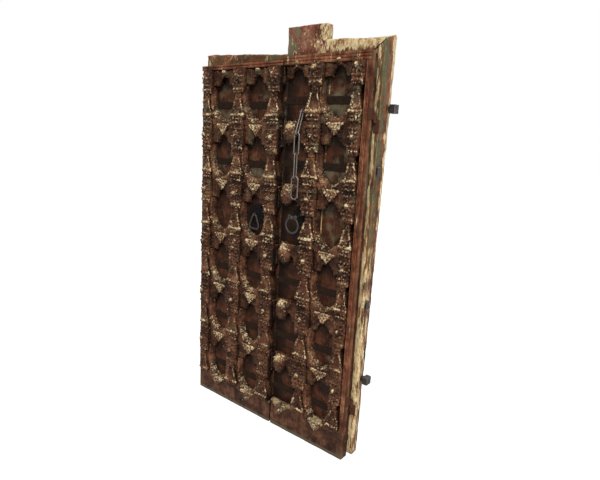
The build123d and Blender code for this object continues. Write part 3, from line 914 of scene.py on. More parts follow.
@dataclass
class NicheLining:
    """The carved bowl that slopes from a niche's rim to its floor, open at the top, in millimetres."""

    rim_half: float = 70.0
    taper: float = 1.0
    rim_rise: float = 9.0
    slope: float = 15.0
    outer_half: float = 112.0
    outer_drop: float = 9.0
    outer_taper: float = 0.4
    bowl_rise: float = 88.0
    face_y: float = -87.0
    floor_y: float = -54.2
    bead: float = 3.5
    petal_count: int = 20
    petal_depth: float = 3.5
    side_steps: int = 14
    bowl_steps: int = 72

    def path(self) -> list[tuple[float, float, float]]:
        """Way round the niche, from its top left down, round the bowl and up.

        Returns:
            Share across, share down and straight share of each step.
        """
        steps = [(-1.0, 0.0, 1 - step / self.side_steps) for step in range(self.side_steps)]
        for step in range(self.bowl_steps + 1):
            angle = math.pi * step / self.bowl_steps
            steps.append((-math.cos(angle), max(math.sin(angle), 0.0), 0.0))
        return steps + [(1.0, 0.0, (step + 1) / self.side_steps) for step in range(self.side_steps)]

    def section(self, share: float) -> list[tuple[float, float]]:
        """Section of the lining: how far in from the outside, and depth.

        Args:
            share: place along the way round, from zero to one.

        Returns:
            Inward share, below one up to the rim and up to two at the floor, and Y of each corner.
        """
        petal = self.petal_depth * abs(math.sin(math.pi * self.petal_count * share))
        slope = []
        for step in range(7):
            part = step / 6
            swell = petal * math.sin(math.pi * part)
            y = self.face_y + (self.floor_y - self.face_y) * (1 - (1 - part) ** 1.4) - swell
            slope.append((1 + part, y))
        return [(0.0, self.floor_y), (0.0, self.face_y), (0.55, self.face_y), (0.8, self.face_y - self.bead),
                (0.93, self.face_y - self.bead), *slope]

    def mesh(self, bay: float, top: float, foot: float) -> Mesh:
        """Make one lining.

        Args:
            bay: the niche's middle line.
            top: height of its head.
            foot: height of the ledge below it.

        Returns:
            The closed lining, in metres.
        """
        centre = foot + self.bowl_rise
        rim_depth = self.bowl_rise - self.rim_rise
        rings = ((self.outer_half, self.bowl_rise + self.outer_drop, self.outer_taper),
                 (self.rim_half, rim_depth, self.taper),
                 (self.rim_half - self.slope, rim_depth - self.slope, self.taper))
        shapes = bmesh.new()
        loops = []
        steps = self.path()
        for number, (across, down, straight) in enumerate(steps):
            spots = [(bay + half * math.copysign(abs(across) ** taper, across),
                      centre - depth * down ** taper + (top - centre) * straight)
                     for half, depth, taper in rings]
            loop = []
            for inward, y in self.section(number / (len(steps) - 1)):
                ring = min(int(inward), 1)
                (near_x, near_z), (far_x, far_z) = spots[ring:ring + 2]
                part = inward - ring
                x, z = near_x + (far_x - near_x) * part, near_z + (far_z - near_z) * part
                loop.append(shapes.verts.new(Vector((x, y, z)) * MM))
            loops.append(loop)
        for near, far in zip(loops, loops[1:]):
            for corner in range(len(near)):
                after = (corner + 1) % len(near)
                shapes.faces.new((near[corner], near[after], far[after], far[corner]))
        for cap in (loops[0], loops[-1]):
            shapes.faces.new(cap)
        bmesh.ops.recalc_face_normals(shapes, faces=shapes.faces)
        return finished(shapes, bpy.data.meshes.new("lining"))


@dataclass
class CarvedLeaf:
    """A door leaf with its carved columns, rails, planks and mouldings, in millimetres."""

    shop: Workshop
    side: str
    columns: list[Column]
    bays: list[float]
    lined_bays: list[float]
    pale_lines: list[float]
    first_ledge: float
    foot: float
    nosed: bool
    # Cream on the bells' right faces, which also stands for painted light from the right
    bell_cream_and_light: float
    floor_moss: float
    pull_x: float
    pull_z: float
    moulding_rise: float = 0.0
    row_count: int = 6
    row_pitch: float = 295.0
    pull_row: int = 2
    plank_count: int = 3
    strap_thickness: float = 3.0
    nail: Point = (5.5, 4.0, 5.5)
    nail_spots: Span = (-28.0, 22.0)
    nail_stray: Span = (6.0, 5.0)
    strip_half: float = 12.5
    floor_y: float = -54.0
    rail_y: float = -76.0
    rim_y: float = -82.0
    column_y: float = -94.0
    block_y: float = -102.0
    carving_top: float = 1835.0
    rail_height: float = 104.0
    keyhole_radius: float = 36.0
    keyhole_straight: float = 10.0
    keyhole_rim: float = 4.0
    stone_count: int = 9
    stone: Point = (3.0, 4.0, 8.0)
    knob: Point = (19.0, 12.0, 21.0)
    knob_tip: Point = (12.0, 14.0, 12.0)
    corbel_half: float = 60.0
    corbel_height: float = 58.0
    corbel_proud: float = 11.0
    lobe_rows: tuple[int, ...] = (5, 4, 3, 2, 1)
    lobe_pitch: float = 20.0
    lobe_drop: float = 11.0
    lobe: Point = (7.6, 9.0, 8.2)
    nose_reach: float = 42.0
    nose_half: float = 40.0
    nose_half_height: float = 58.0
    nose_half_depth: float = 27.0
    boss_drop: float = 64.0
    boss: Point = (15.0, 18.0, 15.0)
    petal_count: int = 8
    petal_ring: float = 25.0
    petal: Point = (6.5, 9.0, 11.0)
    block_half: float = 42.0
    block_half_height: float = 45.0
    tooth: Point = (9.0, 8.0, 9.0)
    panel_half_height: float = 17.0
    panel_half_depth: float = 12.0
    panel_chip: Point = (11.0, 11.0, 10.0)
    neck_half: float = 31.0
    chevron_lean: float = 0.55
    chevron_half: Span = (5.0, 3.2)
    chevrons: tuple[Span, ...] = ((0.16, 0.80), (0.44, 0.58), (0.72, 0.42))
    waist_drop: float = 172.9
    waist_half: float = 18.0
    waist_bead: float = 7.0
    bell_drop: float = 246.0
    bell_half: float = 40.0
    bell_proud: float = 10.0
    flute_half: Span = (4.2, 6.5)
    abacus_height: float = 16.0
    abacus_half: float = 47.0
    abacus_bead: float = 8.0
    cap_half: float = 38.0
    cap_drop: float = 17.0
    cap_row: float = 9.0
    cap_chip: Point = (10.0, 9.0, 13.0)
    wear: Weathering = Weathering(3.8, 1, 2.4, 24.0, 1.2, 8.0, 13.0)
    rail_wear: Weathering = Weathering(4.4, 1, 2.6, 26.0, 1.2, 8.0, 14.0)
    board_wear: Weathering = Weathering(4.6, 1, 2.6, 40.0, 1.0, 9.0)
    moulding_wear: Weathering = Weathering(0.0, 0, 3.0, 60.0, 1.2, 20.0)
    lining_wear: Weathering = Weathering(4.2, 1, 2.5, 26.0, 1.2, 9.0, 13.0)
    moulding_cut: float = 30.0
    plank_round: float = 2.5
    ledge_round: float = 4.0
    rim_halves: tuple[float, ...] = (86.0, 84.0, 80.0, 72.0, 69.0, 67.0)
    tapers: tuple[float, ...] = (1.45, 1.4, 1.3, 1.1, 1.0, 1.0)
    # Heights over which the carving goes from bare to painted, gathers dust and counts as high
    bare_span: Span = (650.0, 1000.0)
    dust_span: Span = (900.0, 1600.0)
    high_span: Span = (900.0, 1300.0)
    # Spans over which the planks gather bloom, upwards and away from the meeting edge
    bloom_span: Span = (700.0, 1400.0)
    mossy_span: Span = (200.0, 290.0)
    # Spans over which the painted shadow at the meeting edge and round the pull ends
    seam_shadow_span: Span = (70.0, 150.0)
    pull_shadow_span: Span = (60.0, 110.0)
    # Widths of the planks' pale joints and lines, and the height above which the lines fade
    joint_width: float = 4.0
    line_half: float = 3.0
    faded_line_z: float = 1200.0
    # Where the planks are cut for their paint
    level_cuts: tuple[float, ...] = (104, 125, 150, 175, 200, 225, 250, 270, 290)
    line_cuts: tuple[float, ...] = (-5, -2.5, 2.5, 5)
    low_cuts: tuple[float, ...] = (5, 30, 75)
    high_cuts: tuple[float, ...] = (30, 5)
    pull_cuts: tuple[float, ...] = (-110, -85, -60, -30, 0, 30, 60, 85, 110)

    @property
    def body(self) -> str:
        """Name of the leaf's body."""
        return f"{self.side}_leaf"

    @property
    def ledges(self) -> list[float]:
        """Heights of the row ledges from the top."""
        return [self.first_ledge - row * self.row_pitch for row in range(self.row_count)]

    def dress_stage(self, bed: OrnamentBed, x: float, ledge: float, share: float) -> None:
        """Set the cut shapes of one stage of a column.

        Args:
            bed: gets the shapes.
            x: the column's middle line.
            ledge: the row's ledge height.
            share: the column's width against the others.
        """
        boss_z = ledge - self.boss_drop
        half = share * self.block_half
        bed.dome((x, self.block_y - 6, boss_z), narrowed(self.boss, share))
        for petal in range(self.petal_count):
            angle = 2 * math.pi * petal / self.petal_count
            bed.dome((x + self.petal_ring * share * math.sin(angle), self.block_y - 1,
                      boss_z + self.petal_ring * math.cos(angle)), narrowed(self.petal, share), angle)
        for rise in (-1, 1):
            band_z = boss_z + rise * (self.block_half_height - 6)
            if band_z < self.carving_top - 8:
                for tooth in range(-2, 3):
                    bed.diamond((x + tooth * half / 2.7, self.block_y - 3, band_z),
                                *narrowed(self.tooth, share))
        panel_z = boss_z - self.block_half_height - self.panel_half_height + 3
        bed.bar((x, self.block_y + self.panel_half_depth, panel_z),
                (half - 3, self.panel_half_depth, self.panel_half_height))
        for chip in (-1, 0, 1):
            bed.diamond((x + chip * half / 1.8, self.block_y - 3, panel_z),
                        *narrowed(self.panel_chip, share))
        self.dress_funnel(bed, x, ledge, share)
        self.dress_bell(bed, x, ledge, share)

    def dress_funnel(self, bed: OrnamentBed, x: float, ledge: float, share: float) -> None:
        """Set the chevrons of a column's funnel.

        Args:
            bed: gets the shapes.
            x: the column's middle line.
            ledge: the row's ledge height.
            share: the column's width against the others.
        """
        top = ledge - self.boss_drop - self.block_half_height
        height = self.waist_drop - self.boss_drop - self.block_half_height
        for step, reach in self.chevrons:
            z = top - step * height
            arm = share * self.neck_half * reach / 2
            for way in (-1, 1):
                bed.bar((x + way * arm, self.column_y, z), (arm + 2, *self.chevron_half),
                        -way * self.chevron_lean)
        bed.roll((x, self.column_y + 1, ledge - self.waist_drop), share * (self.waist_half + 5),
                 self.waist_bead)

    def dress_bell(self, bed: OrnamentBed, x: float, ledge: float, share: float) -> None:
        """Set the flutes of a column's bell, its abacus roll and its chip-cut cap.

        Args:
            bed: gets the shapes.
            x: the column's middle line.
            ledge: the row's ledge height.
            share: the column's width against the others.
        """
        bell_z = ledge - self.bell_drop
        height = self.bell_drop - self.waist_drop
        spread = share * (self.bell_half - self.waist_half)
        for flute in (-1.0, 1.0):
            lean = math.atan2(flute * spread, height)
            bed.bar((x + flute * share * (self.bell_half + self.waist_half) / 2.1,
                     self.column_y - self.bell_proud / 2, bell_z + height / 2),
                    narrowed((*self.flute_half, height / 2), share), -lean)
        bed.roll((x, self.block_y, bell_z - self.abacus_height / 2), share * self.abacus_half - 1,
                 self.abacus_bead)
        for row in (-1, 1):
            z = bell_z - self.abacus_height - self.cap_drop + row * self.cap_row
            if z > self.foot + 8:
                for chip in (-1.5, -0.5, 0.5, 1.5):
                    bed.diamond((x + chip * share * self.cap_half / 2, self.column_y - 4, z),
                                *narrowed(self.cap_chip, share))

    def dust(self, place: np.ndarray) -> np.ndarray:
        """Share of olive dust, thickest high on the leaf."""
        return 0.05 + 0.2 * ease(place[:, 2], *self.dust_span) + 0.25 * waver(place, 240)

    def column_paint(self, column: Column) -> PaintRule:
        """Rule that paints a column: pale bells and lines, right faces paler from paint and painted light,
        painted highlights on boss tops, and painted shade in hollows, on undersides, round bosses and past
        the seam.

        Args:
            column: the column.

        Returns:
            The rule.
        """
        def rule(place: np.ndarray, normal: np.ndarray) -> Coat:
            """Coat for each place and normal."""
            x, y, z = place.T
            drop = (self.first_ledge - z) % self.row_pitch
            fall = np.clip((drop - self.waist_drop) / (self.bell_drop - self.waist_drop), 0, 1)
            half = column.share * (self.waist_half + fall * (self.bell_half - self.waist_half))
            side = (x - column.x) / half
            bell = (drop > self.waist_drop) & (drop < self.bell_drop)
            right = normal[:, 0] > 0.45
            reach = np.hypot((x - column.x) / column.share, drop - self.boss_drop)
            cream = np.full(len(place), 0.12)
            cream[drop > self.bell_drop + self.abacus_height] = 0.20
            cream[drop < self.boss_drop - self.block_half_height] = 0.20
            cream[bell & (np.abs(side) > 0.8)] = 0.18
            # Faces turned right are paler, most on the bells: cream paint and painted light from the right
            cream[right & (drop > 100)] = 0.26
            cream[right & bell] = self.bell_cream_and_light
            cream[(drop > self.bell_drop - 3) & (drop < self.bell_drop + 7)] = 0.34
            # Painted highlight on the tops of the bosses
            cream[(reach < 12) & (y < self.block_y - 12) & (normal[:, 2] > 0.1)] = 0.40
            block = np.abs(drop - self.boss_drop) < self.block_half_height
            base = np.where(block, self.block_y, self.column_y)
            cream += 0.34 * (ease(base - y, 1, 6) - 0.4)
            # Upward faces are paler: settled dust and painted light from above
            cream += 0.16 * np.clip(normal[:, 2], 0, 1) + 0.16 * waver(place, 110)
            # Painted shade deepens towards the niche floor and on faces turned down
            shade_and_grime = 0.55 * np.clip((y - self.rail_y) / (self.floor_y - self.rail_y), 0, 1)
            shade_and_grime += 0.45 * np.clip(-normal[:, 2] - 0.1, 0, 1)
            # Painted shade on the sunk faces between raised ornament
            shade_and_grime += np.where(normal[:, 1] < -0.2, 0.6 * (1 - ease(base - y, -3, 2)), 0)
            # Painted shadow ring round each boss
            shade_and_grime[(reach > 14) & (reach < 20)] += 0.5
            cream -= 0.12 * (1 - ease(z, *self.bare_span))
            if column.strip_x:
                strip = x < column.strip_x + self.strip_half
                cream[strip] = 0.1 + 0.14 * waver(place, 110)[strip]
                shade_and_grime[strip] *= 0.4
            # Painted shadow past the meeting seam
            if column.seam_shadow_x:
                shade_and_grime[x > column.seam_shadow_x] = 0.9
            return Coat(cream, shade_and_grime, self.dust(place))

        return rule

    def plane_strip(self, mesh: Mesh, strip_x: float) -> None:
        """Plane the strip at the leaf's edge flat and straight.

        Args:
            mesh: the column beside it.
            strip_x: the strip's middle line.
        """
        for corner in mesh.vertices:
            if corner.co.x < (strip_x + self.strip_half) * MM:
                corner.co.x = max(corner.co.x, (strip_x - self.strip_half) * MM)
                corner.co.y = max(corner.co.y, self.rim_y * MM)

    def add_carved(self, node: str, mesh: Mesh, rule: PaintRule) -> None:
        """Paint a carved skin and make it a piece in place of its node."""
        add_piece(f"carved_{node}", paint_mesh(mesh, rule), self.body,
                  self.shop.finishes.carved, [node])

    def build_columns(self) -> None:
        """Make the worn, carved columns."""
        height = self.carving_top - self.foot
        depth = self.floor_y - self.rim_y
        for column in self.columns:
            bed = OrnamentBed()
            for ledge in self.ledges:
                self.dress_stage(bed, column.x, ledge, column.share)
            if column.strip_x:
                bed.bar((column.strip_x, (self.floor_y + self.rim_y) / 2, (self.foot + self.carving_top) / 2),
                        (self.strip_half, depth / 2, height / 2))
            mesh = self.wear.apply(bed.on_node(column.node, self.shop))
            if column.strip_x:
                self.plane_strip(mesh, column.strip_x)
            self.add_carved(column.node, mesh, self.column_paint(column))

    def dress_corbel(self, bed: OrnamentBed, bay: float, ledge: float, y: float) -> None:
        """Set the leaf lobes of one hanging corbel.

        Args:
            bed: gets the shapes.
            bay: the corbel's middle line.
            ledge: height of the ledge that it hangs from.
            y: the face that it stands on.
        """
        front = y - self.corbel_proud
        for row, lobes in enumerate(self.lobe_rows):
            z = ledge - 8 - row * self.lobe_drop
            for lobe in range(lobes):
                x = bay + (lobe - (lobes - 1) / 2) * self.lobe_pitch
                bed.dome((x, front + row * 0.8, z), self.lobe)

    def dress_rail(self, bed: OrnamentBed, ledge: float, low_x: float) -> None:
        """Set the cut shapes of one rail: arch rims, corbels or a nose, and hanging knobs at the top.

        Args:
            bed: gets the shapes.
            ledge: the rail's ledge height.
            low_x: the rail's left end.
        """
        foot = ledge - self.rail_height
        top = min(ledge - 12, self.carving_top - 3)
        for column in self.columns:
            for way in (-1, 1):
                near = column.x + way * column.share * self.block_half
                bays = [bay for bay in self.bays if 0 < way * (bay - near) < 1.5 * self.corbel_half]
                for bay in bays:
                    far = bay - way * (self.keyhole_radius + 5)
                    bed.bar(((near + far) / 2, self.rail_y - 1, (foot + top) / 2 + 1),
                            (abs(far - near) / 2, 7, (top - foot) / 2 - 2))
        for bay in self.bays:
            reach = self.keyhole_radius + self.keyhole_rim
            for stone in range(self.stone_count):
                angle = math.pi * (stone + 0.5) / self.stone_count
                bed.bar((bay - reach * math.cos(angle), self.rail_y,
                         foot + self.keyhole_straight + reach * math.sin(angle)),
                        self.stone, math.pi - angle)
            if ledge > self.carving_top:
                bed.dome((bay, self.rail_y - 2, foot + 66), self.knob)
                bed.dome((bay, self.rail_y - 10, foot + 68), self.knob_tip)
            elif self.nosed and bay == self.bays[0]:
                bed.dome((low_x + self.nose_reach, self.rail_y, ledge - self.nose_half_height),
                         (self.nose_half, self.nose_half_depth, self.nose_half_height))
            else:
                self.dress_corbel(bed, bay, ledge, self.rail_y)

    def rail_paint(self, ledge: float, low_x: float) -> PaintRule:
        """Rule that paints a rail: pale corbels, ledges and arch edges, paler upward faces, painted
        highlights on knob and nose tops, and painted shade on undersides, in recesses and low on the nose.

        Args:
            ledge: the rail's ledge height.
            low_x: the rail's left end.

        Returns:
            The rule.
        """
        def rule(place: np.ndarray, normal: np.ndarray) -> Coat:
            """Coat for each place and normal."""
            x, y, z = place.T
            drop = ledge - z
            carved = ledge > self.foot + 1
            cream = np.full(len(place), 0.10)
            cream[drop < 11] = 0.36
            for bay in self.bays:
                away = np.abs(x - bay)
                up = np.maximum(z - (ledge - self.rail_height + self.keyhole_straight), 0)
                rim = np.abs(np.hypot(away, up) - self.keyhole_radius - self.keyhole_rim) < 5
                cream[rim & (drop > 50)] = 0.30
                if ledge < self.carving_top:
                    corbel = away < self.corbel_half * (1 - drop / self.corbel_height) + 5
                    cream[corbel & (normal[:, 1] < 0.2)] = 0.32 if carved else 0.46
                else:
                    # Painted highlight on the tops of the hanging knobs
                    cream[(away < 14) & (normal[:, 2] > 0.2) & (y < self.rail_y - 8)] = 0.8
            if self.nosed:
                end = (x < self.bays[0] + self.corbel_half) & (drop > 0)
                nose = end & (x < low_x + self.nose_reach + self.nose_half) & (y < self.rail_y - 4)
                cream[end & carved] = 0.14
                # Painted highlight on the nose's top, fading downwards
                cream[nose] = 0.34 - 0.24 * ease(drop, 15, 65)[nose]
            if carved:
                cream += 0.30 * (ease(self.rim_y - 2 - y, 0, 6) - 0.4)
            # Upward faces are paler: settled dust and painted light from above
            cream += 0.20 * np.clip(normal[:, 2], 0, 1) + 0.16 * waver(place, 130)
            # Painted shade on faces turned down and towards the niche floor
            shade_and_grime = 0.7 * np.clip(-normal[:, 2] - 0.15, 0, 1)
            shade_and_grime += 0.5 * np.clip((y - self.rail_y - 6) / (self.floor_y - self.rail_y), 0, 1)
            if self.nosed:
                # Painted shade on the lower part of the nose
                shade_and_grime[nose] += 0.55 * ease(drop, 30, 110)[nose]
            if carved:
                # Painted shade on the sunk faces between raised ornament
                shade_and_grime += np.where(normal[:, 1] < -0.2, 0.5 * (1 - ease(self.rim_y - 2 - y, -4, 1)), 0)
            else:
                shade_and_grime += 0.28
            return Coat(cream, shade_and_grime, np.where(z < 0, 0.9, self.dust(place)))

        return rule

    def plank_paint(self, low_x: float, high_x: float) -> PaintRule:
        """Rule that paints a plank: green bloom low in each niche, pale joints, and painted shade under the
        niche heads, at the meeting edge and round the pull.

        Args:
            low_x: the plank's left edge.
            high_x: the plank's right edge.

        Returns:
            The rule.
        """
        def rule(place: np.ndarray, normal: np.ndarray) -> Coat:
            """Coat for each place and normal."""
            x, _, z = place.T
            drop = (self.first_ledge - z) % self.row_pitch
            low = (drop - self.rail_height) / (self.row_pitch - self.rail_height)
            joint = np.minimum(x - low_x, high_x - x) < self.joint_width
            high = ease(z, *self.high_span)
            cream = np.where(joint, 0.30, 0.05) + 0.24 * ease(low, 0.62, 1.0) * high
            for line in self.pale_lines:
                pale = np.abs(x - line) < self.line_half
                cream[pale] = np.where(z > self.faded_line_z, 0.5, 0.85)[pale]
            # Painted shade under each niche's head
            shade_and_grime = 0.8 * (1 - ease(low, 0.0, 0.22))
            # Painted shadow along the meeting edge
            if self.nosed:
                shade_and_grime = np.maximum(shade_and_grime, 0.92 * (1 - ease(x, *self.seam_shadow_span)))
            # Painted shadow round the pull's ring and plate
            away = np.hypot(x - self.pull_x, (z - self.pull_z) / 1.3)
            shade_and_grime = np.maximum(shade_and_grime, 0.85 * (1 - ease(away, *self.pull_shadow_span)))
            moss = (self.floor_moss + 0.25 * ease(low, 0.35, 0.75)) * (0.25 + 0.75 * high)
            moss += 0.2 * ease(z, *self.bloom_span) + 0.25 * waver(place, 320)
            if self.nosed:
                moss *= 0.25 + 0.75 * ease(x, *self.mossy_span)
            front = normal[:, 1] < 0
            return Coat(np.where(front, cream, 0.05), np.where(front, shade_and_grime, 0.1), moss)

        return rule

    def build_rails(self) -> None:
        """Make the worn cross rails and the bottom rail."""
        for number, ledge in enumerate(self.ledges):
            node = f"{self.side}_rail_{number + 1}"
            bed = OrnamentBed()
            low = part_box(node)[0].x / MM
            self.dress_rail(bed, ledge, low)
            mesh = self.rail_wear.apply(bed.on_node(node, self.shop))
            self.add_carved(node, mesh, self.rail_paint(ledge, low))
        node = f"{self.side}_bottom_rail"
        bed = OrnamentBed()
        for bay in self.bays:
            self.dress_corbel(bed, bay, self.foot, self.rim_y)
        mesh = self.board_wear.apply(bed.on_node(node, self.shop))
        without_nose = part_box(node)[0].x / MM - 2 * self.nose_half
        self.add_carved(node, mesh, self.rail_paint(self.foot, without_nose))

    def lining_paint(self, place: np.ndarray, normal: np.ndarray) -> Coat:
        """Paint the niches' linings: pale petals low down from dust and painted light from above, green-brown
        above, painted shade towards the floor.

        Args:
            place: each corner's place.
            normal: each corner's normal.

        Returns:
            The coat.
        """
        _, y, z = place.T
        low = ease((self.first_ledge - z) % self.row_pitch, 150, 235)
        slope = y > self.rim_y - 2
        rim = (y > self.rim_y - 13) & (normal[:, 1] > -0.75) & (normal[:, 2] > -0.2)
        bare = 1 - ease(z, *self.bare_span)
        high = ease(z, *self.high_span)
        face = 0.14 - 0.08 * bare + 0.16 * high * low
        # The rim is paler low in each bowl: dust and painted light from above
        cream = np.where(rim, 0.20 + (0.30 + 0.05 * bare) * low, face) + 0.16 * waver(place, 90)
        cream += 0.28 * (ease(self.rim_y - 5 - y, 0, 4) - 0.3)
        # Painted shade deepens down the slope towards the niche floor
        shade_and_grime = np.where(slope, 0.75 * ease(y, self.floor_y - 20, self.floor_y - 3) * (1 - 0.45 * low), 0.0)
        return Coat(cream, shade_and_grime, self.dust(place))

    def build_linings(self) -> None:
        """Make the niches' sloping linings."""
        shapes = list(zip(self.ledges, self.rim_halves, self.tapers))
        bowls = [NicheLining(half, taper).mesh(bay, ledge - self.rail_height + 2, ledge - self.row_pitch)
                 for bay in self.lined_bays for ledge, half, taper in shapes]
        mesh = paint_mesh(self.lining_wear.apply(joined(*bowls)), self.lining_paint)
        add_piece(f"{self.side}_niche_linings", mesh, self.body, self.shop.finishes.carved)

    def moulding_paint(self, place: np.ndarray, normal: np.ndarray) -> Coat:
        """Paint a moulding: painted highlights on the crests, painted shade in the grooves and a plain side.

        Args:
            place: each corner's place.
            normal: each corner's normal, not used.

        Returns:
            The coat.
        """
        # Crests are painted pale as highlights and grooves dark as shade
        crest = ease(-place[:, 1], -self.rim_y + 3.5, -self.rim_y + 6)
        front = place[:, 1] < self.rim_y + 1
        cream = 0.22 * crest + 0.2 * waver(place, 170)
        shade_and_grime = np.where(front, 0.75 * (1 - crest), 0.15)
        return Coat(cream, shade_and_grime, 0.2 + 0.2 * waver(place, 300))

    def build_boards(self) -> None:
        """Make the planks, the ledges at the back and the mouldings."""
        finishes = self.shop.finishes
        levels = [ledge - drop for ledge in self.ledges for drop in self.level_cuts]
        for number in range(1, self.plank_count + 1):
            node = f"{self.side}_plank_{number}"
            low, high = (corner.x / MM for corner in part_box(node))
            edges = [line + step for line in self.pale_lines for step in self.line_cuts]
            edges += [low + step for step in self.low_cuts] + [high - step for step in self.high_cuts]
            edges += [self.pull_x + step for step in self.pull_cuts]
            mesh = sliced(bevelled(node_mesh(node), self.plank_round), Axis.X, edges)
            paint_mesh(sliced(mesh, Axis.Z, levels), self.plank_paint(low, high))
            add_piece(f"worn_{node}", mesh, self.body, finishes.plank, [node], True)
        node = f"{self.side}_back_ledges"
        add_piece(f"worn_{node}", bevelled(node_mesh(node), self.ledge_round), self.body,
                  finishes.plank, [node], True)
        for node, axis in ((f"{self.side}_top_moulding", Axis.X), (f"{self.side}_border", Axis.Z)):
            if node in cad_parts:
                low, high = (corner[axis.value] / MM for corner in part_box(node))
                mesh = sliced(node_mesh(node), axis, np.arange(low + 20, high - 10, self.moulding_cut))
                if axis is Axis.X:
                    foot, top = (corner.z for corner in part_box(node))
                    for corner in mesh.vertices:
                        corner.co.z += self.moulding_rise * MM * (corner.co.z - foot) / (top - foot)
                mesh = paint_mesh(self.moulding_wear.apply(mesh), self.moulding_paint)
                add_piece(f"worn_{node}", mesh, self.body, finishes.moulding, [node], True)

    def build(self) -> None:
        """Make the whole leaf."""
        self.build_columns()
        self.build_rails()
        self.build_boards()
        self.build_linings()
        dress_node(f"{self.side}_straps", self.shop.finishes.strap)
        dress_node(f"{self.side}_hinge_eyes", self.shop.finishes.rusted)
        self.build_nails()

    def build_nails(self) -> None:
        """Drive round-headed nails through the straps."""
        chance = np.random.default_rng(SEED)
        bed = OrnamentBed()
        middle = (self.rail_height + self.row_pitch) / 2
        stray_x, stray_z = self.nail_stray
        for row, ledge in enumerate(self.ledges):
            if row != self.pull_row:
                for bay in self.bays:
                    for spot in self.nail_spots:
                        x = bay + spot + chance.uniform(-stray_x, stray_x)
                        z = ledge - middle + chance.uniform(-stray_z, stray_z)
                        bed.dome((x, self.floor_y - self.strap_thickness, z), self.nail)
        add_piece(f"{self.side}_strap_nails", bed.mesh(self.shop), self.body,
                  self.shop.finishes.strap)


